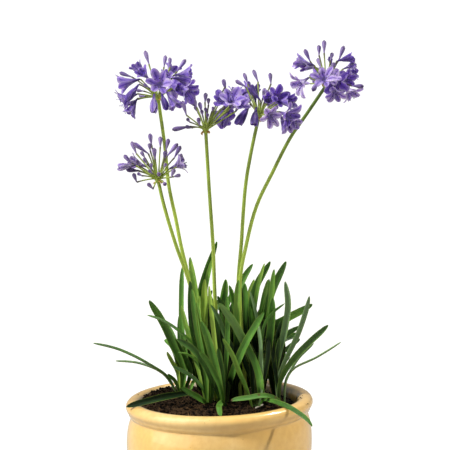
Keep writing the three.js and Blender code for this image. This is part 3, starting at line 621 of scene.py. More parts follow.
# One leaf: its kind, its width, its turn about its own length, then the points that it passes
# on its way to the tip.
shoots = {
    "left_back": {"foot": (-57, 50), "leaves": [
        ("dark", 7, 66, (-75, 44, 230), (-103, 34, 251), (-143, 24, 273), (-180, 14, 285)),
        ("blue", 6, 70, (-82, 46, 234), (-115, 42, 250), (-151, 38, 255)),
        ("mid", 12, -22, (-51, 38, 239), (-65, 27, 280), (-83, 15, 321), (-99, 4, 348)),
        ("bright", 7, -34, (-60, 40, 238), (-68, 32, 256), (-75, 24, 271)),
        ("mid", 9, -28, (-48, 56, 253), (-54, 58, 297), (-55, 62, 344), (-54, 64, 390)),
        ("dark", 11, 28, (-65, 72, 265), (-77, 92, 292), (-94, 112, 307)),
        ("dark", 9, 14, (-43, 42, 238), (-54, 36, 265), (-67, 30, 290)),
        ("mid", 7, -34, (-59, 36, 216), (-64, 30, 229), (-74, 24, 239)),
    ]},
    "back_left": {"foot": (-24, 62), "leaves": [
        ("fresh", 11, -29, (-29, 64, 296), (-35, 63, 355), (-43, 62, 404)),
        ("soft", 11, 24, (-35, 72, 310), (-27, 73, 361), (-4, 74, 426)),
        ("lit", 11, -22, (-23, 48, 276), (-21, 44, 328), (-21, 40, 374)),
        ("bright", 8, -34, (-28, 46, 284), (-30, 41, 317), (-28, 36, 350)),
        ("deep", 9, 16, (-37, 50, 261), (-41, 45, 306), (-43, 40, 348)),
        ("dark", 11, 20, (-19, 84, 278), (-12, 101, 320), (10, 118, 341)),
        ("fresh", 9, -32, (-26, 68, 303), (-20, 69, 355), (-10, 70, 402)),
        ("dark", 9, 12, (-15, 54, 268), (-12, 52, 313), (-12, 50, 348)),
        ("deep", 9, 12, (-20, 56, 246), (-17, 54, 290), (-18, 52, 327)),
        ("mid", 8, -29, (-34, 52, 246), (-39, 50, 283), (-40, 48, 316)),
        ("deep", 12, 8, (-32, 54, 236), (-36, 55, 268), (-39, 56, 297)),
        ("deep", 12, 10, (-21, 58, 235), (-14, 59, 267), (-8, 60, 297)),
        ("deep", 11, 12, (-28, 66, 240), (-38, 68, 280), (-44, 70, 318)),
        ("deep", 12, 8, (-36, 60, 232), (-45, 60, 262), (-52, 60, 290)),
        ("deep", 9, 12, (-10, 56, 246), (-14, 56, 290), (-16, 58, 338)),
        ("mid", 6, 20, (-31, 50, 219), (-37, 44, 224), (-42, 36, 212.8)),
    ]},
    "front_left": {"foot": (-14, -4), "leaves": [
        ("dark", 11, 24, (-24, -12, 249), (-39, -15, 316), (-41, -18, 378)),
        ("mid", 7, 58, (-20, -14, 263), (-52, -18, 303), (-78, -22, 322), (-100, -26, 331)),
        ("dark", 10, 12, (-10, -26, 235), (-21, -33, 264), (-37, -39, 286), (-58, -46, 301)),
        ("deep", 6, 14, (-22, -8, 222), (-41, 0, 241), (-66, 8, 253)),
        ("fresh", 9, -36, (-19, -14, 255), (-33, -12, 288), (-47, -10, 313)),
        ("shade", 10, 14, (-34, -10, 217), (-69, -26, 217.6), (-102, -44, 213.4), (-127, -52, 208.4)),
        ("bright", 8, -26, (-26, -2, 238), (-40, 4, 288), (-54, 10, 340)),
        ("deep", 9, 14, (-12, -2, 241), (-19, 0, 278), (-29, 2, 313)),
        ("dark", 8, 18, (-13, -8, 237), (-23, -7, 270), (-31, -6, 296)),
        ("deep", 9, 14, (-8, 8, 245), (-9, 11, 283), (-13, 14, 321)),
        ("mid", 9, -20, (-19, -14, 249), (-30, -18, 309), (-38, -22, 367)),
        ("fresh", 9, -25, (-14, -10, 244), (-23, -17, 295), (-31, -24, 349)),
        ("soft", 9, 28, (-23, -28, 211.2), (-32, -38, 219), (-43, -44, 227), (-52, -48, 234)),
    ]},
    "front_middle": {"foot": (8, -16), "leaves": [
        ("mid", 11, -10, (0, -28, 241), (-9, -32, 276), (-17, -36, 305), (-25, -40, 325)),
        ("mid", 8.5, 18, (2, -38, 229), (-7, -45, 252), (-17, -53, 272), (-27, -60, 286)),
        ("dark", 9, -18, (5, -6, 245), (-3, -2, 285), (-9, 2, 323)),
        ("lit", 7, -26, (0, -14, 245), (-7, -16, 302), (-14, -18, 371)),
        ("spotted", 8, 12, (4, -38, 212), (0, -60, 212), (1, -82, 209), (3, -96, 206)),
        ("mid", 8, -24, (9, -10, 244), (12, -14, 290), (12, -14, 325), (11, -12, 356)),
        ("deep", 10, 14, (9, -8, 237), (8, -7, 272), (2, -6, 307)),
        ("deep", 9, 18, (14, -4, 236), (21, -2, 267), (26, 0, 298)),
        ("dark", 9, 16, (5, -20, 228), (2, -21, 256), (-2, -22, 284)),
        ("deep", 9, 20, (-3, -22, 223), (-10, -24, 240), (-18, -26, 257)),
        ("dark", 9, 16, (5, -2, 238), (0, -4, 285), (-7, -6, 335)),
    ]},
    "middle": {"foot": (16, 34), "leaves": [
        ("mid", 13, 10, (8, 42, 278), (4, 44, 328), (9, 46, 373)),
        ("dusk", 8, 20, (18, 0, 278), (9, -6, 296), (0, -16, 321), (-12, -28, 346)),
        ("mid", 12, -26, (16, -10, 237), (26, -18, 264), (37, -24, 290), (51, -30, 316), (62, -36, 336)),
        ("deep", 11, 20, (17, 30, 280), (9, 28, 323), (-3, 26, 351)),
        ("mid", 10, 15, (31, 38, 278), (24, 34, 323), (14, 30, 366)),
        ("mid", 11, -20, (27, 58, 341), (34, 64, 368), (49, 70, 393)),
        ("mid", 12, -20, (38, 40, 278), (38, 43, 326), (37, 46, 367)),
        ("dark", 11, 25, (12, 60, 297), (4, 85, 320), (-12, 110, 327)),
        ("fresh", 10, -28, (25, 44, 292), (25, 46, 335), (28, 48, 373)),
        ("mid", 9, 16, (18, 40, 278), (20, 41, 317), (21, 42, 352)),
        ("deep", 10, 12, (17, 22, 245), (15, 21, 281), (12, 20, 314)),
        ("deep", 10, 12, (28, 20, 242), (31, 18, 274), (34, 16, 306)),
        ("mid", 9, -18, (19, 24, 242), (9, 22, 288), (2, 20, 329)),
        ("deep", 9, 14, (34, 50, 283), (33, 52, 320), (31, 54, 353)),
        ("fresh", 10, -10, (25, 0, 278), (24, -6, 328), (27, -6, 378)),
        ("mid", 9, -14, (19, 22, 274), (24, 16, 311), (31, 10, 353)),
        ("deep", 12, 10, (12, 44, 238), (2, 45, 277), (-5, 46, 311)),
        ("deep", 12, 8, (34, 40, 238), (41, 42, 278), (47, 44, 306)),
        ("deep", 12, 10, (22, 48, 240), (22, 50, 282), (20, 52, 322)),
        ("deep", 12, 10, (26, 52, 236), (30, 55, 270), (34, 58, 300)),
        ("deep", 13, 8, (34, 48, 222), (39, 52, 248), (42, 54, 277)),
        ("deep", 13, 8, (43, 44, 223), (46, 48, 249), (49, 50, 275)),
        ("deep", 12, 12, (24, 30, 223), (17, 26, 250), (14, 24, 281)),
        ("mid", 9, 12, (4, 60, 297), (9, 74, 327), (20, 90, 352)),
        ("dark", 9, 12, (7, 58, 290), (14, 70, 319), (24, 84, 341)),
        ("deep", 10, 12, (30, 30, 280), (29, 24, 320), (31, 16, 365)),
        ("mid", 8, -14, (9, 16, 246), (9, 12, 276), (11, 8, 316)),
    ]},
    "right_back": {"foot": (58, 40), "leaves": [
        ("sage", 12.5, -10, (50, -2, 252), (42, -10, 277), (32, -17, 298), (18, -26, 324),
         (0, -34, 349)),
        ("mist", 6, 30, (62, 18, 243), (58, 13, 290), (51, 9, 329), (43, 4, 361)),
        ("mid", 10.5, -16, (58, -27, 225), (55, -23, 248), (46, -21, 273), (36, -20, 291)),
        ("fresh", 8, -34, (50, 52, 305), (56, 55, 355), (66, 58, 395)),
        ("soft", 12, 10, (45, 62, 314), (52, 72, 357), (75, 80, 396)),
        ("bright", 9, -28, (41, 84, 308), (44, 92, 340), (52, 100, 367)),
        ("mid", 12, 4, (60, 44, 292), (75, 41, 354), (96, 38, 400)),
        ("fresh", 8, -20, (56, 42, 292), (63, 41, 339), (70, 40, 373)),
        ("deep", 10, 14, (50, 30, 251), (45, 28, 287), (42, 26, 322)),
        ("deep", 10, 14, (61, 30, 251), (63, 28, 287), (61, 26, 319)),
        ("mid", 8, -22, (55, 28, 255), (48, 25, 299), (44, 22, 337)),
        ("deep", 9, 16, (67, 34, 257), (70, 34, 293), (71, 34, 327)),
        ("deep", 12, 8, (55, 44, 238), (55, 45, 277), (53, 46, 311)),
        ("dark", 11, 14, (68, 46, 237), (76, 48, 276), (82, 50, 310)),
        ("mid", 10, -8, (60, 30, 226), (54, 16, 255), (43, 6, 279)),
    ]},
    "front_right": {"foot": (50, -22), "leaves": [
        ("fresh", 7.5, -26, (38, -36, 231), (29, -43, 253), (18, -51, 281), (5, -58, 304)),
        ("mid", 5.5, 30, (57, -10, 277), (63, -7, 316), (75, -3, 332), (92, 0, 344)),
        ("soft", 7.9, -30, (60, -24, 210), (72, -52, 216), (84, -75, 217), (95, -90, 215.2),
         (107, -103, 210), (116, -112, 204.2), (122, -117, 197.4)),
        ("mist", 6, -22, (59, -28, 225), (59, -21, 260), (58, -14, 291), (54, -6, 318)),
        ("deep", 8, 14, (45, -6, 236), (35, 0, 261), (28, 6, 284)),
        ("deep", 9, 16, (53, -10, 237), (49, -9, 265), (42, -8, 288)),
        ("deep", 9, 20, (61, -8, 239), (67, -6, 267), (69, -4, 293)),
    ]},
    "right": {"foot": (84, 28), "leaves": [
        ("fresh", 10, -34, (67, 24, 281), (74, 19, 339), (78, 14, 391)),
        ("mist", 10, 4, (81, 20, 248), (92, 17, 301), (97, 13, 340), (93, 10, 374)),
        ("mist", 10, 30, (81, 12, 227), (87, 9, 249), (98, 5, 275), (110, 1, 302), (119, -3, 329),
         (126, -6, 355)),
        ("mid", 12.5, 14, (76, 42, 301), (97, 47, 316), (116, 53, 325), (136, 58, 335)),
        ("dark", 8, 22, (82, 40, 256), (100, 49, 273), (118, 58, 284)),
        ("dark", 10, 22, (77, 32, 275), (96, 37, 294), (115, 42, 305)),
        ("mid", 12, 8, (68, 10, 259), (72, 4, 308), (75, -2, 352)),
        ("mid", 10, 38, (76, 60, 267), (69, 72, 339), (73, 80, 370)),
        ("deep", 10, 14, (85, 50, 254), (90, 58, 282), (92, 64, 303)),
        ("dark", 8, 16, (78, 12, 241), (82, 9, 269), (84, 6, 294)),
        ("mid", 8, -20, (74, 12, 238), (76, 10, 267), (79, 8, 293)),
        ("deep", 9, 16, (71, 18, 248), (68, 17, 289), (66, 16, 321)),
        ("dark", 9, 20, (77, 30, 255), (83, 32, 294), (89, 34, 315)),
    ]},
    "far_right": {"foot": (88, -6), "inner": 0, "leaves": [
        ("dark", 10, 15, (83, -9, 227), (91, -14, 250), (103, -21, 270), (124, -29, 294),
         (150, -36, 319)),
        ("blue", 5, 50, (93, -3, 234), (100, 0, 248), (113, 4, 267), (134, 8, 286)),
        ("mist", 4.5, 60, (94, -4, 233), (104, -6, 252), (136, -8, 269), (171, -10, 291)),
        ("dark", 8, 20, (80, 6, 237), (75, 8, 276), (69, 10, 316)),
        ("spotted", 10.5, 44, (83, -28, 210.5), (74, -34, 216.6), (66, -39, 219.4), (56, -44, 220.4),
         (42, -50, 219.4), (28, -56, 219), (16, -62, 219)),
    ]},
}


def deepInClump(tree, place):
    # painted shade: leaves are painted darkest low down in the middle of the clump, where the shade falls
    clump = leaf["clump"]
    parts = splitVector(tree, place)
    away = []
    for part, middle, reach in zip(parts, clump["middle"], clump["reach"]):
        off = calculate(tree, "DIVIDE", calculate(tree, "SUBTRACT", part, middle), reach)
        away.append(times(tree, off, off))
    # the painted shade widens towards the soil
    wider = spread(tree, parts[2], clump["widens"], clump["soil"], 0, 0.5)
    inner = spread(tree, calculate(tree, "SUBTRACT", calculate(tree, "ADD", *away), wider), 1, 0.45)
    return times(tree, inner, spread(tree, parts[2], clump["top"], clump["foot"]))


def rampGreens(tree, shade):
    ramp = addNode(tree, "ShaderNodeValToRGB", {0: shade})
    stops = ramp.color_ramp.elements
    stops[0].color = paint(leaf["deepGreen"])
    stops[1].color = paint(leaf["brightGreen"])
    middle = stops.new(0.5)
    middle.color = paint(leaf["midGreen"])
    return ramp.outputs[0]


def makeLeafMaterial():
    material, tree = newMaterial("leaf", 0.5, 0.35, (0.12, 0.002, (0.6, 1.0, 0.25)))
    uv, across, along = ownWay(tree)
    tone, blue, wear, under = ownLooks(tree)
    place = ownPlace(tree)
    lines = ownLines(tree, uv, tone, 40, 26, 1.6)
    patches = maskFrom(tree, mottle, place, Scale=26, Low=0.3, High=0.7)
    # the tone of each stretch wanders a little round the leaf's own
    wander = timesPlus(tree, calculate(tree, "ADD", lines, patches), 0.2, -0.2)
    # painted shade low in the middle of the clump, which darkens the colour and dulls the shine there
    deep = deepInClump(tree, place)
    shade = timesPlus(tree, deep, -leaf["clump"]["shade"], calculate(tree, "ADD", tone, wander))
    rib = fromMidrib(tree, across)
    edge = spread(tree, rib, 0.8, 1)
    keel = times(tree, spread(tree, rib, 0.14, 0), timesPlus(tree, under, 0.15, 0.05))
    foot = spread(tree, along, 0.07, 0)
    marks = maskFrom(tree, speckle, place, Scale=120, Size=0.4, Share=0.6)
    colour = layOver(tree, rampGreens(tree, shade), leaf["blueGreen"], blue)
    colour = layOver(tree, colour, leaf["edge"], edge, 0.45)
    colour = layOver(tree, colour, leaf["edge"], keel)
    colour = layOver(tree, colour, leaf["base"], foot, 0.2)
    colour = layOver(tree, colour, leaf["spot"], times(tree, marks, wear))
    setLook(tree, "Base Color", colour)
    setLook(tree, "Roughness", timesPlus(tree, patches, 0.16, 0.42))
    setLook(tree, "Specular IOR Level", timesPlus(tree, deep, -0.3, 0.35))
    addBump(tree, lines, 0.35, 0.0004)
    return material


def bladeWidth(share):
    # narrow in the crown, full over the middle, and a blunt point
    rise = leaf["footWidth"] + (1 - leaf["footWidth"]) * min(1, share / leaf["fullFrom"])
    fall = 1 - leaf["narrows"] * max(0, share - leaf["narrowsFrom"]) / (1 - leaf["narrowsFrom"])
    tip = max(0, share - leaf["tipFrom"]) / (1 - leaf["tipFrom"])
    return rise * fall * math.sqrt(max(0, 1 - tip ** 2))


def addLeaf(bm, foot, row, rng):
    kind, width, turn, *way = row
    path = smoothPath([leafRoot(foot, way[0]), *map(Vector, way)])[0]
    phase = rng.random() * 6.28
    twist = leaf["twist"] * (rng.random() - 0.5) * 2
    tone, blue, wear = leaf["kinds"][kind]
    tone = tone + leaf["toneVaries"] * (rng.random() - 0.5)
    rings = {}

    def place(u, v):
        share = 1 - (1 - v) ** leaf["crowded"]
        if v not in rings:
            centre, tangent = path(share)
            rings[v] = (centre, *frameAlong(tangent, turn + twist * math.sin(3 * share + phase)))
        centre, side, face = rings[v]
        if atEnd(v):
            return centre
        full = bladeWidth(share)
        a = 2 * acrossBlade(u) - 1
        height = width * leaf["channel"] * full * abs(a) ** 1.25
        if u > 0.5:
            keel = leaf["thick"] * (1.25 - 0.5 * share) * min(1, full / 0.6)
            height -= keel * (1 - abs(a) ** 2.5)
        return centre + side * (a * width / 2 * full) + face * height

    bendGrid(bm, leaf["around"], leaf["along"], place, lambda u, v: (tone, blue, wear, onUnderside(u)),
             lambda u, v: (acrossBlade(u), v))


def addCrown(bm, foot):
    crown = leaf["crown"]
    level = soilTop(*foot)
    way = Vector((*foot, 0)).normalized()
    over = Vector((-way.y, way.x, 0))
    heights = followPlaces([Vector((share, 0, height)) for height, share in crown["outline"]])[0]

    def place(u, v):
        spot = heights(v)[0]
        middle = Vector((*foot, level + spot.z))
        if atEnd(v):
            return middle
        return middle + outward(way * crown["long"], over * crown["short"], fullTurn * u) * spot.x

    # the crown takes a dark tone, painted shade among the leaf feet
    bendGrid(bm, 14, 8, place, (0.2, 0, 0, 0), lambda u, v: (0.3 + 0.4 * acrossBlade(u), 0.1 + 0.06 * v))


def leafRoot(foot, first):
    # a leaf starts inside the crown, on the side that it leans to
    lean = Vector((first[0] - foot[0], first[1] - foot[1], 0))
    lean = lean * min(1, leaf["lean"] / max(lean.length, 0.01))
    height = soilTop(*foot) + leaf["crown"]["above"] - leaf["root"]
    return Vector((foot[0] + lean.x, foot[1] + lean.y, height))


def innerLeaf(foot, row, rng):
    # a shorter, narrower leaf that stands close behind one of the shoot's own
    width, turn, *way = row[1:]
    inner = leaf["inner"]
    (least, more), (narrow, wider), (near, farther) = inner["size"], inner["width"], inner["back"]
    size = least + more * rng.random()
    ground = soilTop(*foot)
    aside, back = inner["aside"] * (rng.random() - 0.5), near + farther * rng.random()
    points = []
    for i, (x, y, z) in enumerate(way, 1):
        part = i / len(way)
        height = ground + (z - ground) * (size + 0.1 * (1 - part))
        if height < ground + inner["lowest"]:
            # what it stands behind lies low, so it stands up instead
            return ["deep", 8, 20, [foot[0] + aside, foot[1] + back, ground + 45],
                    [foot[0] + aside * 1.4, foot[1] + back * 1.3, ground + 75]]
        across = foot[0] + (x - foot[0]) * size + aside * part
        points.append([across, foot[1] + (y - foot[1]) * size + back * part, height])
    kind = rng.choice(inner["kinds"])
    width = width * (narrow + wider * rng.random())
    return [kind, width, turn + inner["turns"] * (rng.random() - 0.5), *points]


def makeShoots():
    material = makeLeafMaterial()
    for number, (name, shoot) in enumerate(shoots.items()):
        rng = random.Random(100 + number)
        bm = newShape()
        foot = shoot["foot"]
        addCrown(bm, foot)
        for row in shoot["leaves"]:
            addLeaf(bm, foot, row, rng)
        for row in shoot["leaves"]:
            for _ in range(shoot.get("inner", leaf["inner"]["count"])):
                addLeaf(bm, foot, innerLeaf(foot, row, rng), rng)
        finishPiece(bm, f"leaves_{name}", material, [f"shoot_{name}"])


makeShoots()
print("leafy shoots made")


# flower stems and heads

stem = {
    "foot": 2.9, "top": 2.4, "below": 22, "collar": 5, "around": 16, "along": 48, "gap": 3.8,
    # per stem, how strongly its top is painted darker: painted shade under its flower head
    "shaded": [0.15, 0.1, 0.15, 0.4, 0.85],
    "light": (184, 208, 84), "dark": (140, 170, 64), "base": (166, 190, 96), "shadeUnderHead": (72, 104, 36),
}
flower = {
    "receptacleTop": 4.8, "receptacleHeight": 7,
    "receptacleShape": [(0, 0.58), (0.2, 0.66), (0.4, 0.72), (0.6, 0.98), (0.8, 1), (1, 0.86)],
    "stalkRadius": 0.98, "stalkBow": 0.07,
    "budWidest": 3.05, "budGrown": 1.12,
    "budShape": [
        (0, 0.3), (0.15, 0.36), (0.35, 0.6), (0.55, 0.86), (0.72, 1), (0.86, 0.95), (0.95, 0.68), (1, 0.3),
    ],
    # the radius and height of the flower's tube, as shares of the flower's length
    "tubeOut": [(0, 0), (0.045, 0), (0.052, 0.1), (0.075, 0.24), (0.112, 0.38), (0.132, 0.45)],
    "tubeIn": [(0.122, 0.445), (0.1, 0.41), (0.05, 0.38), (0, 0.37)], "tubeTurns": 0.72,
    "tepals": 6, "tepalWidth": 0.182, "tepalThick": 0.55, "tepalVaries": 0.24, "toneVaries": 0.5,
    "tepalDroop": 0.3, "wave": (0.04, 0.02), "lift": 0.012, "fold": 0.04,
    "grown": 1.14, "shutBelow": 0.2, "stamensFrom": 0.25,
    "filament": (0.45, 0.15), "antherLength": 1.1, "antherRadius": 0.62,
    "bracts": 4, "bractLong": (3.5, 3.5), "bractWide": (2, 1.4), "bractThick": 0.3,
    "petal": (130, 104, 202), "petalPale": (206, 188, 242), "petalDeep": (74, 48, 142),
    "tube": (56, 38, 98), "budColour": (180, 164, 210), "budDeep": (138, 114, 190), "budTip": (74, 50, 88),
    "stalkGreen": (180, 202, 96), "stalkDark": (122, 124, 66), "stalkPurple": (84, 64, 84),
    "receptacle": (176, 202, 88), "bract": (206, 140, 70), "bractPale": (232, 190, 120),
    "filamentColour": (186, 172, 222), "anther": (44, 34, 50), "pollen": (120, 98, 66),
}

# A scape's way goes from the soil to the middle of its flower head. A bud is its calyx end, its
# tip, its size and for a few how dark it is. A bloom is its calyx end, the middle of its mouth,
# how wide it stands open and how dark it is painted: partly its own colour and partly painted shade
# and painted light for where light falls on it, paler still below nought. The first six numbers are
# across, back and up from the head's middle. A head with rear blooms of its own has no others at its back.
heads = [{
    "scape": [
        (-20, 24), (-42, 26, 367), (-55, 26, 424), (-62, 26, 461), (-72, 24, 510), (-77, 20, 564),
        (-86, 14, 632),
    ],
    "buds": [
        (-13, 5, 48, -18, 6, 65, 1.1), (8, 7, 44, 10, 9, 59, 0.9), (17, -3, 43, 17, -4, 55, 0.8),
        (27, -5, 37, 38, -6, 52, 1.05), (-37, 7, 30, -53, 9, 36, 1), (-19, -15, 9, -28, -16, 10, 0.7),
        (-11, -21, 13, -18, -22, 18, 0.6), (-29, 7, -1, -43, 8, -8, 0.8),
    ],
    "blooms": [
        (-16, 2, 29, -32, 10, 46, 0.45, 0.5), (-25, 2, 27, -52, 2, 20, 0.6, 0.3),
        (-26, -10, 19, -40, -14, 0, 0.05, 0.9), (-29, -4, 6, -54, -10, -7, 0.9, 0.35),
        (-29, -8, -1, -38, -14, -21, 0.45, 0.4), (5, -38, 12, 5, -65, 19, 0.85, 0.15),
        (-3, -38, 4, -3, -50, -19, 0.08, 0.4), (6, -24, 7, 12, -28, -12, 0.05, 0.95),
        (12, -24, 9, 26, -30, -11, 0.5, 0.3), (23, -14, 31, 47, -18, 34, 0.62, 0.45),
        (29, -12, 19, 50, -28, 3, 0.85, 0.5), (15, -28, 18, 30, -40, 12, 0.5, 0.75),
        (14, 8, 28, 20, 20, 45, 0.7, 0.5), (19, 12, 29, 40, 24, 29, 0.7, 0.6),
        (-12, -6, 26, -22, -22, 36, 0.55, 0.5), (8, -10, 19, 15, -22, 33, 0.6, 0.5),
    ],
}, {
    "rearBlooms": [

    ],
    "scape": [
        (-5, 8), (-41, -8, 371), (-60, -20, 428), (-76, -26, 483), (-84, -26, 518),
    ],
    "buds": [
        (-9, 3, 48, -11, 4, 62, 1.1), (-10, -8, 40, -11, -10, 49, 0.8), (-3, -13, 29, -4, -18, 42, 1.15),
        (3, 3, 45, 3, 5, 58, 1), (11, 5, 41, 14, 6, 55, 1), (10, -8, 30, 10, -11, 38, 0.75),
        (13, -3, 33, 26, -4, 48, 1.15), (22, 5, 30, 30, 6, 45, 1.05), (-30, 5, 36, -36, 6, 51, 1),
        (-13, -3, 36, -31, -5, 49, 1.2), (-17, -9, 30, -22, -10, 38, 0.7),
        (-14, -13, 22, -18, -17, 29, 0.7), (-7, -24, 15, -8, -27, 22, 0.6),
        (-25, -8, 19, -28, -15, 26, 0.9), (-37, 5, 22, -46, 6, 33, 1), (-6, -27, 9, -10, -32, 13, 0.6),
        (3, -34, 6, 4, -44, 9, 0.8), (10, -34, -3, 12, -45, -5, 0.9), (-6, -16, -12, -12, -21, -5, 0.9),
        (-29, -4, -3, -33, -5, 8, 0.9), (-21, -16, 6, -26, -20, 9, 0.6), (9, -18, 17, 12, -23, 22, 0.6),
        (26, -5, 18, 32, -7, 34, 1.1), (19, -15, 4, 23, -21, 14, 1), (-27, 12, 12, -41, -4, 14, 1.25),
        (-28, 0, 13, -40, -6, 14, 1.25, 1.5),
    ],
    "blooms": [
        (-30, -2, 20, -50, -10, 18, 0.12, -0.35), (-17, 24, 18, -40, 32, 25, 0.6, -0.35),
        (15, 2, 15, 37, 0, 25, 0.8, -0.2),
    ],
}, {
    "rearBlooms": [
        (14, 25, 12, 24, 51, 19, 0.8, 0.5), (20, 24, 30, 34, 42, 36, 0.6, 0.5),
    ],
    "scape": [
        (4, 20), (-6, 12, 347), (-9, 10, 426), (-13, 8, 486), (-16, 6, 534), (-19, 4, 587),
    ],
    "buds": [
        (-27, 3, 21, -32, 4, 39, 1.15), (-22, -5, 5, -44, -7, 1, 1.3), (-22, -9, 11, -25, -15, 15, 0.7),
        (-1, 4, 39, 0, 8, 51, 1), (4, -4, 35, 4, -8, 43, 0.8), (-4, -13, 20, -5, -19, 26, 0.7),
        (2, -13, 23, 0, -20, 29, 0.7), (9, -8, 26, 11, -12, 31, 0.6), (3, -19, 16, 3, -25, 21, 0.6),
        (-11, 6, 25, -15, 11, 33, 0.8), (-8, -31, 6, -9, -41, 14, 1), (-13, 7, 32, -16, 12, 42, 0.9),
        (27, 3, 60, 25, 7, 70, 1), (28, 3, 56, 25, 6, 69, 1.05, 0.9),
    ],
    "blooms": [
        (-12, 9, 31, -23, 24, 46, 0.35, 0.5), (34, -18, 30, 37, -42, 46, 0.75, 0.15),
        (27, -6, 33, 22, -26, 43, 0.75, 0.6), (51, 0, 48, 62, 10, 61, 0.75, 0.45),
        (33, -4, 27, 26, -2, 9, 0.05, 0.75), (42, -8, 26, 48, -30, 38, 0.75, -0.2),
        (42, 0, 38, 42, -6, 57, 0.5, 0.3),
    ],
}, {
    "rearBlooms": [
        (-12, 25, 20, -16, 46, 32, 0.7, 0.5), (12, 24, 18, 20, 46, 22, 0.6, 0.5),
    ],
    "scape": [
        (30, 25), (27, 22, 370), (31, 16, 425), (37, 8, 510), (45, 0, 559), (55, -10, 606),
    ],
    "buds": [
        (-15, 15, 45, -20, 16, 59, 0.8), (-1, 12, 48, -7, 12, 63, 0.9), (17, 13, 45, 16, 14, 59, 0.9),
        (-18, -1, 40, -31, -2, 48, 1), (12, -7, 24, 11, -9, 34, 0.8), (39, 3, 24, 51, 4, 22, 1.1, 1.3),
    ],
    "blooms": [
        (2, 4, 22, -11, 10, 38, 0.35, 0.8), (-12, 14, 17, -26, 10, -6, 0.12, 1),
        (-4, -8, 12, -7, -20, -8, 0.12, 0.25), (11, -28, 3, 16, -49, -4, 0.95, -0.45),
        (10, 2, 17, 15, -2, 33, 0.55, 0.8), (7, -8, 18, 14, -26, 23, 0.6, 0.6),
        (15, 2, 22, 29, -20, 26, 0.8, 0.75), (23, -12, 19, 43, -26, 19, 0.6, 0.6),
        (27, -18, 5, 46, -36, -3, 0.9, 0.2), (33, -14, 2, 47, -30, -16, 0.75, 0),
        (28, 0, 4, 39, -4, -17, 0.5, 0.5), (-4, 16, 20, -6, 26, 38, 0.5, 0.4),
    ],
}, {
    "rearBlooms": [
        (-4, 25, 12, -6, 51, 17, 0.6, 0.5), (12, 24, 4, 22, 44, 0, 0.6, 0.5),
    ],
    "scape": [
        (38, 16), (29, 9, 372), (38, 12, 425), (53, 20, 481), (75, 22, 527), (101, 20, 578),
        (121, 18, 607), (150, 12, 650),
    ],
    "buds": [
        (-3, 2, 45, -3, 2, 61, 1.15), (-10, 4, 42, -10, 6, 55, 1), (-23, -3, 33, -30, -4, 48, 1.15),
        (6, 4, 35, 9, 8, 45, 0.9), (18, 2, 36, 24, 2, 53, 1.1), (7, -11, 21, 9, -17, 29, 0.9),
        (32, -32, -3, 46, -36, -4, 1.25, 1), (-12, -19, 7, -20, -22, -8, 1.35, 0.5),
        (2, -22, 1, -1, -28, -9, 0.9),
    ],
    "blooms": [
        (-18, -11, 27, -43, -10, 33, 0.55, 0.1), (-25, -15, 10, -45, -24, -4, 1, -0.5),
        (-6, -40, -1, -10, -62, 9, 0.95, 0), (7, 3, 27, 6, 8, 37, 0.3, 0.6),
        (14, -9, 33, 33, -4, 38, 0.3, 0.9), (24, 4, 23, 41, 4, 30, 0.6, 0.1),
        (21, 0, 13, 39, -8, 16, 0.6, 0.8), (13, -16, 6, 9, -42, -1, 0.9, 0.6),
        (22, -12, 9, 27, -34, 5, 0.85, 0.55), (8, -30, -3, 9, -46, -19, 0.85, 0),
        (23, -2, 2, 38, -10, -17, 0.9, -0.2), (20, 8, 19, 36, 20, 15, 0.6, 0.5),
        (-13, -4, 24, -31, -10, 25, 0.35, 0), (2, -30, 2, 4, -52, 8, 0.7, -0.4),
    ],
}]

# What stands at the back of every head, its across turned about on every second head.
behind = {
    "buds": [
        (-6, 22, 26, -9, 31, 39, 1), (-20, 24, 4, -28, 34, 6, 0.9),
    ],
    "blooms": [
        (14, 25, 12, 24, 51, 19, 0.8, 0.5), (26, 24, 18, 46, 38, 8, 0.6, 0.5),
    ],
}


def makeStemMaterial():
    material, tree = newMaterial("stem", 0.45, 0.4, (0.08, 0.002, (0.7, 1.0, 0.2)))
    uv, _, along = ownWay(tree)
    lines = maskFrom(tree, streaks, uv, Count=22, Stretch=3)
    patches = maskFrom(tree, mottle, ownPlace(tree), Scale=18, Low=0.3, High=0.7)
    share = times(tree, calculate(tree, "ADD", lines, patches), 0.35)
    # painted shade: darker towards the top, under the flower head, as strongly as each stem's own number
    # says
    shadeUnderHead = times(tree, spread(tree, along, 0.6, 0.95), ownLooks(tree)[0])
    colour = blendColours(tree, share, paint(stem["light"]), paint(stem["dark"]))
    colour = layOver(tree, colour, stem["base"], spread(tree, along, 0.2, 0), 0.6)
    setLook(tree, "Base Color", layOver(tree, colour, stem["shadeUnderHead"], shadeUnderHead))
    addBump(tree, lines, 0.25, 0.0003)
    return material


def makeStalkMaterial():
    material, tree = newMaterial("stalk", 0.5, 0.35)
    uv, _, along = ownWay(tree)
    tone = ownLooks(tree)[0]
    lines = ownLines(tree, uv, tone, 30, 9, 3)
    end = spread(tree, timesPlus(tree, tone, 0.35, along), 0.68, 1.1)
    colour = layOver(tree, paint(flower["stalkGreen"]), flower["stalkDark"], lines, 0.35)
    colour = layOver(tree, colour, flower["stalkPurple"], end, 0.85)
    colour = layOver(tree, colour, flower["receptacle"], spread(tree, along, 0.14, 0), 0.7)
    setLook(tree, "Base Color", colour)
    addBump(tree, lines, 0.2, 0.0002)
    return material


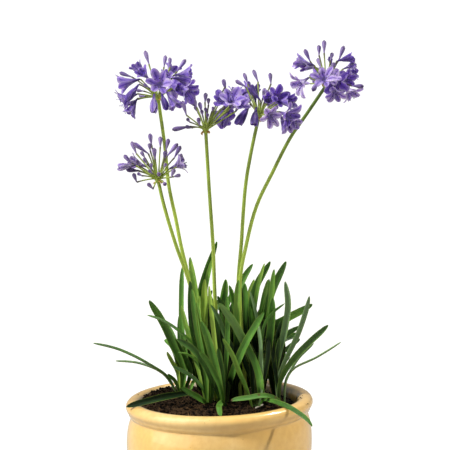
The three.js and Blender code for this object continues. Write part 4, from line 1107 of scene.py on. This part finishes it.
def makeBudMaterial():
    material, tree = newMaterial("bud", 0.5, 0.35, (0.15, 0.002, (0.6, 0.5, 1.0)))
    uv, _, along = ownWay(tree)
    tone = ownLooks(tree)[0]
    lines = ownLines(tree, uv, tone, 30, 9, 1.5)
    colour = blendColours(tree, lines, paint(flower["budColour"]), paint(flower["budDeep"]))
    colour = layOver(tree, colour, flower["tube"], spread(tree, along, 0.16, 0.02), 0.8)
    colour = layOver(tree, colour, flower["budTip"], spread(tree, along, 0.62, 0.95), 0.85)
    setLook(tree, "Base Color", layOver(tree, colour, flower["tube"], tone, 0.55))
    addBump(tree, lines, 0.3, 0.0003)
    return material


def makePetalMaterial():
    through = (0.45, 0.003, (0.7, 0.5, 1.0))
    material, tree = newMaterial("petal", 0.55, 0.3, through, **{"Sheen Weight": 0.15})
    uv, across, along = ownWay(tree)
    tone, _, _, under = ownLooks(tree)
    lines = ownLines(tree, uv, tone, 30, 14, 1.5)
    rib = fromMidrib(tree, across)
    # paler towards the edges, in fine lines, and paler all over where the bloom's tone is low, which is
    # partly painted light
    edges = times(tree, spread(tree, rib, 0.05, 1), timesPlus(tree, lines, 0.4, 0.12))
    pale = calculate(tree, "ADD", edges, timesPlus(tree, tone, -0.5, 0.35))
    stripe = times(tree, spread(tree, rib, 0.3, 0.02), spread(tree, along, 1, 0.7))
    # painted light down in the throat, standing in for light that shines through the thin petals; dark on
    # the neck outside
    throatLight = times(tree, spread(tree, along, 0.58, 0.3), timesPlus(tree, under, -0.8, 0.8))
    neck = times(tree, spread(tree, along, 0.42, 0.06), times(tree, under, 0.9))
    # darker by the bloom's tone, more on the outside: partly its own colour and partly painted shade
    shade = times(tree, tone, timesPlus(tree, under, 0.4, 0.3))
    colour = layOver(tree, paint(flower["petal"]), flower["petalPale"], spread(tree, pale, 0, 1))
    colour = layOver(tree, colour, flower["petalDeep"], stripe, 0.7)
    colour = layOver(tree, colour, flower["petalPale"], throatLight)
    colour = layOver(tree, colour, flower["tube"], neck)
    setLook(tree, "Base Color", layOver(tree, colour, flower["petalDeep"], shade))
    addBump(tree, lines, 0.3, 0.0004)
    return material


def makeThreadMaterial():
    material, tree = newMaterial("stamen", 0.6, 0.3)
    thread = layOver(tree, paint(flower["filamentColour"]), flower["petal"], ownWay(tree)[2])
    grains = maskFrom(tree, speckle, ownPlace(tree), Scale=1800, Size=0.5, Share=0.5)
    head = layOver(tree, paint(flower["anther"]), flower["pollen"], grains)
    setLook(tree, "Base Color", blendColours(tree, ownLooks(tree)[0], thread, head))
    return material


def makeBractMaterial():
    material, tree = newMaterial("bract", 0.75, 0.2)
    lines = maskFrom(tree, streaks, ownWay(tree)[0], Count=10, Stretch=2)
    dry = layOver(tree, paint(flower["bractPale"]), flower["bract"], lines)
    fresh = layOver(tree, paint(flower["receptacle"]), flower["stalkGreen"], lines)
    setLook(tree, "Base Color", blendColours(tree, ownLooks(tree)[0], fresh, dry))
    addBump(tree, lines, 0.4, 0.0003)
    return material


def stemPath(way):
    foot, *rest = way
    level = soilTop(*foot)
    base = Vector((*foot, level - stem["below"]))
    collar = Vector((*foot, level + stem["collar"]))
    return smoothPath([base, collar, *map(Vector, rest)])


def makeStem(number, path, length, material):
    end = 1 - stem["gap"] / length
    bm = newShape()
    addTube(bm, lambda v: path(end * v), lambda v: stem["foot"] + (stem["top"] - stem["foot"]) * v,
            stem["around"], stem["along"], (stem["shaded"][number - 1], 0, 0, 0))
    finishPiece(bm, f"flower_stem_{number}", material, [f"scape_{number}"])


def addStalk(bm, root, tone):
    lean = Vector((root.x, root.y, 0)) / root.length
    if lean.length > 0:
        lean = lean.normalized() * (flower["receptacleTop"] * 0.75 * lean.length ** 0.5)
    start = Vector((lean.x, lean.y, flower["receptacleHeight"] * 0.3))
    # each bows a little differently, so that they stand apart
    bow = flower["stalkBow"] * (0.2 + 1.6 * tone)
    middle = root * 0.5 + Vector((0, 0, root.length * bow))
    steps = [i / 10 for i in range(11)]
    path = followPlaces([start * (1 - t) ** 2 + middle * 2 * t * (1 - t) + root * t ** 2 for t in steps])[0]

    def radius(v):
        # a little thicker at both ends
        return flower["stalkRadius"] * (1 + 0.3 * max(0, v - 0.85) / 0.15 + 0.4 * max(0, 0.3 - v) / 0.3)

    addTube(bm, path, radius, 6, 8, (tone, 0, 0, 0))


def addBud(bm, root, tip, size, tone):
    widest = flower["budWidest"] * size ** 0.5
    addTube(bm, straightPath(root, tip), lambda v: widest * readTable(flower["budShape"], v), 10, 10,
            (tone, 0, 0, 0))


def makeTepalLine(length, opening):
    # the radius and height along the middle of a tepal, as shares of the flower's length
    shut = max(0, 1 - opening / flower["shutBelow"])
    mouthRadius, mouthHeight = 0.12, 0.42
    tipRadius, tipHeight = 0.15 + 0.5 * opening, 1.06 - 0.34 * opening ** 2
    wideRadius = mouthRadius + (tipRadius - mouthRadius) * 0.56 + 0.03 * shut
    wideHeight = mouthHeight + (tipHeight - mouthHeight) * 0.7 + 0.08 * opening ** 2 - 0.06 * shut
    tipRadius += (0.03 - tipRadius) * shut
    line = [(0.09, 0.3), (mouthRadius, mouthHeight), (wideRadius, wideHeight), (tipRadius, tipHeight)]
    return smoothPath([Vector((radius, 0, height)) * length for radius, height in line], 8)[0]


def addTepal(bm, root, axes, length, opening, number, tone, rng):
    # one thin closed blade: its throat side first, then back along its outside
    tangent, side, face = axes
    inner = number % 2 == 0
    varies = flower["tepalVaries"]
    angle = number * math.pi / 3 + varies * (rng.random() - 0.5)
    opening = max(0.05, opening * (1 + 1.5 * varies * (rng.random() - 0.5)))
    radial, sideways = outward(side, face, angle), outward(face, -side, angle)
    line = makeTepalLine(length * (1 + varies * (rng.random() - 0.5)), opening)
    widest = flower["tepalWidth"] * length * (1.1 if inner else 0.88) * (0.75 + 0.25 * min(1, opening / 0.5))
    wave, phase = flower["wave"][number % 2] * length, rng.random() * 6.28
    lift = flower["lift"] * length if inner else 0
    droop = (rng.random() - 0.5) * flower["tepalDroop"]
    ownTone = min(1, tone + flower["toneVaries"] * (rng.random() - 0.5))

    def place(u, v):
        share = 1 - (1 - v) ** 1.35
        spot, way = line(share)
        centre = root + radial * spot.x + tangent * spot.z
        inward = radial * -way.z + tangent * way.x
        if atEnd(v):
            return centre + inward * lift
        a = 2 * acrossBlade(u) - 1
        blunt = math.sqrt(max(0.0, 1 - max(0, (share - 0.6) / 0.4) ** 2.4))
        full = (0.42 + 0.58 * min(1, share / 0.6)) * blunt
        # rolled up near the tube, and flatter the wider it opens
        bend = spot.x * (1 + 2.2 * share) + 0.2
        turn = a * widest * full / bend
        flat = sideways * (bend * math.sin(turn)) + inward * (bend * (1 - math.cos(turn)))
        ripple = wave * share * abs(a) * math.sin(9 * share + phase + 2 * a)
        fold = -flower["fold"] * length * max(0, 1 - abs(a) * 2.5) * share * (1 - share)
        swing = sideways * (droop * spot.x * share)
        wall = flower["tepalThick"] * (1 - abs(a) ** 3) * min(1, 3 * full) if u > 0.5 else 0
        return centre + flat + swing + inward * (lift + ripple + fold - wall)

    bendGrid(bm, 8, 10, place, lambda u, v: (ownTone, 0, 0, onUnderside(u)),
             lambda u, v: (acrossBlade(u), 0.28 + 0.72 * v))


def addFlowerTube(bm, root, axes, length, tone):
    # up the outside of the flower's tube to its mouth, and back down inside
    tangent, side, face = axes
    corners = flower["tubeOut"] + flower["tubeIn"]
    outline = followPlaces([Vector((radius, 0, height)) for radius, height in corners])[0]
    mouth = flower["tubeTurns"]

    def place(u, v):
        spot = outline(v)[0] * length
        return root + tangent * spot.z + outward(side, face, fullTurn * u) * spot.x

    def mapUv(u, v):
        # across as if a tepal ran down each sixth of it
        return abs((flower["tepals"] * u) % 1 - 0.5), 0.3 * v / mouth if v < mouth else 0.4

    # the inside is not marked as underside, so it takes the painted light of the throat
    bendGrid(bm, 12, 9, place, lambda u, v: (tone, 0, 0, 1.0 if v < mouth else 0.0), mapUv)


def antherRadius(v):
    # blunt at both ends
    return flower["antherRadius"] * math.sin(math.pi * min(max(v, 0.12), 0.88))


def addStamens(bm, root, axes, length, opening, rng):
    tangent, side, face = axes
    down = Vector((0, 0, -1))
    down = (down - tangent * down.dot(tangent)) * 0.5
    thick, thinner = flower["filament"]
    for k in range(flower["tepals"]):
        out = outward(side, face, (k + 0.5) * math.pi / 3 + rng.random() * 0.3)
        # up the flower, out from its middle and down, as shares of its length
        bends = [(0.34, 0.06, 0), (0.62, 0.11, 0.14)]
        bends.append((0.76 + 0.16 * rng.random(), 0.08 + 0.14 * opening, 0.1))
        points = [root + (tangent * up + out * aside + down * low) * length for up, aside, low in bends]
        path = smoothPath(points, 5)[0]
        addTube(bm, path, lambda v: thick - thinner * v, 4, 6, (0, 0, 0, 0))
        tip, way = path(1)
        across = way.cross(out).normalized() * flower["antherLength"]
        addTube(bm, followPlaces([tip - across, tip + across])[0], antherRadius, 5, 4, (1, 0, 0, 0))


def addReceptacle(bm, way):
    half = flower["receptacleHeight"] / 2
    path = straightPath(way * (-half - 1), way * half, 10)
    addTube(bm, path, lambda v: flower["receptacleTop"] * readTable(flower["receptacleShape"], v), 14, 8,
            (0, 0, 0, 0))


def addBracts(bm, way, rng):
    # papery rags of the sheath that once held the buds, hanging under the head
    side, face = frameAlong(way)
    (short, longer), (narrow, wider) = flower["bractLong"], flower["bractWide"]
    for k in range(flower["bracts"]):
        out = outward(side, face, k * 1.6 + rng.random())
        over = way.cross(out)
        long = short + longer * rng.random()
        wide = narrow + wider * rng.random()
        curl = rng.random()
        # how far out and how far down each bend of it hangs
        bends = [(3.2, 1), (5.2 + curl, 1.5 + long * 0.2), (5.8 + 2.5 * curl, 1 + long * 0.6)]
        bends.append((4.5 + 4 * curl, long))
        path = smoothPath([out * aside - way * low for aside, low in bends], 5)[0]

        def place(u, v):
            a = 2 * u - 1
            half = wide * (1 - 0.85 * v ** 2)
            wavy = 0.25 * half * a * a + 0.3 * math.sin(7 * v + 3 * a)
            return path(v)[0] + over * (a * half) + out * wavy

        bendGrid(bm, 4, 7, place, (1, 0, 0, 0))


def makeHead(number, head, path, materials):
    rng = random.Random(200 + number)
    middle, way = path(1)
    turned = -1 if number % 2 == 0 else 1
    rear = {
        key: [(x * turned, y, z, endX * turned, *rest) for x, y, z, endX, *rest in rows]
        for key, rows in behind.items()
    }
    # each part's shape, material and slot
    parts = {
        "stalks": (newShape(), "stalk", "stem"), "buds": (newShape(), "bud", "petal"),
        "petals": (newShape(), "petal", "petal"), "stamens": (newShape(), "thread", "petal"),
        "receptacle": (newShape(), "bract", "stem"), "bracts": (newShape(), "bract", "stem"),
    }
    stalks, buds, petals, stamens, receptacle, bracts = (shape for shape, _, _ in parts.values())
    addReceptacle(receptacle, way)
    for row in head["buds"] + rear["buds"]:
        root, tip, (size, *dark) = Vector(row[:3]), Vector(row[3:6]), row[6:]
        tone = rng.random()
        addStalk(stalks, root, tone)
        addBud(buds, root, root + (tip - root) * flower["budGrown"], size, dark[0] if dark else tone * tone)
    for row in head["blooms"] + head.get("rearBlooms", rear["blooms"]):
        root, mouth, (opening, tone) = Vector(row[:3]), Vector(row[3:6]), row[6:]
        length = (mouth - root).length * flower["grown"]
        tangent = (mouth - root).normalized()
        axes = (tangent, *frameAlong(tangent))
        addStalk(stalks, root, tone)
        addFlowerTube(petals, root, axes, length, tone)
        for k in range(flower["tepals"]):
            addTepal(petals, root, axes, length, opening, k, tone, rng)
        if opening > flower["stamensFrom"]:
            addStamens(stamens, root, axes, length, opening, rng)
    addBracts(bracts, way, rng)
    for part, (bm, material, slot) in parts.items():
        bmesh.ops.translate(bm, vec=middle, verts=bm.verts)
        piece = finishPiece(bm, f"head_{number}_{part}", materials[material], [f"umbel_{number}"], 70)
        if part == "bracts":
            wall = piece.modifiers.new("wall", "SOLIDIFY")
            wall.thickness = flower["bractThick"] * mm
            wall.offset = 0


def makeFlowers():
    materials = {
        "stem": makeStemMaterial(), "stalk": makeStalkMaterial(), "bud": makeBudMaterial(),
        "petal": makePetalMaterial(), "thread": makeThreadMaterial(), "bract": makeBractMaterial(),
    }
    for number, head in enumerate(heads, 1):
        path, length = stemPath(head["scape"])
        makeStem(number, path, length, materials["stem"])
        makeHead(number, head, path, materials)
        print("flower stem and head", number, "made")


makeFlowers()


# floor, backdrop and light

studio = {
    "floor": 14, "floorColour": (176, 174, 170), "floorSeen": 0.62,
    "sky": 0.27, "skySeen": 1.1,
    "suns": {
        # where it shines from, strength, how soft in degrees, colour
        "key": ((-0.68, -0.28, 0.68), 3.1, 7, (1.0, 0.97, 0.91)),
        "right": ((0.83, 0.02, 0.56), 1.9, 3, (1.0, 0.98, 0.94)),
    },
    "lamps": {
        # place and size in metres, power in watts, colour
        "window": ((-0.95, -0.3, 1.55), (1.2, 1.2), 9, (1.0, 0.98, 0.94)),
        "panel": ((-1.32, -0.7, 0.95), (1.7, 1.6), 13, (1.0, 0.99, 0.95)),
        "strip": ((0.93, 0.6, 1.82), (0.2, 0.3), 24, (1.0, 1.0, 1.0)),
    },
    "shineOnly": ["panel", "strip"],
    "aim": (0.0, 0.0, 0.2),
}


def cameraSees(tree):
    return addNode(tree, "ShaderNodeLightPath", {}).outputs["Is Camera Ray"]


def makeFloor():
    bm = newShape()
    bmesh.ops.create_grid(bm, x_segments=2, y_segments=2, size=studio["floor"])
    mesh = bpy.data.meshes.new("floor")
    bm.to_mesh(mesh)
    bm.free()
    floor = bpy.data.objects.new("floor", mesh)
    scene.collection.objects.link(floor)
    colours = {"Base Color": paint(studio["floorColour"]), "Emission Color": (1, 1, 1, 1)}
    material, tree = newMaterial("floor", 0.8, 0.1, **colours)
    setLook(tree, "Emission Strength", times(tree, cameraSees(tree), studio["floorSeen"]))
    mesh.materials.append(material)


def makeSky():
    # white behind everything, and a softer white as light
    world = bpy.data.worlds.new("studio")
    world.use_nodes = True
    scene.world = world
    tree = world.node_tree
    strength = timesPlus(tree, cameraSees(tree), studio["skySeen"] - studio["sky"], studio["sky"])
    ground = tree.nodes["Background"]
    ground.inputs[0].default_value = (1, 1, 1, 1)
    tree.links.new(strength, ground.inputs[1])


def addLight(name, kind, power, colour, shinesFrom):
    # a light that shines along the way from a place to where it looks
    data = bpy.data.lights.new(name, kind)
    data.energy = power
    data.color = colour
    light = bpy.data.objects.new(name, data)
    light.rotation_euler = (-shinesFrom).to_track_quat("-Z", "Y").to_euler()
    scene.collection.objects.link(light)
    return light


def makeLights():
    for name, (place, power, softness, colour) in studio["suns"].items():
        sun = addLight(name, "SUN", power, colour, Vector(place))
        sun.data.angle = math.radians(softness)
        sun.visible_glossy = False
    for name, (place, size, power, colour) in studio["lamps"].items():
        lamp = addLight(name, "AREA", power, colour, Vector(place) - Vector(studio["aim"]))
        lamp.data.shape = "RECTANGLE"
        lamp.data.size, lamp.data.size_y = size
        lamp.location = place
        lamp.visible_diffuse = name not in studio["shineOnly"]


makeFloor()
makeSky()
makeLights()
print("studio made")
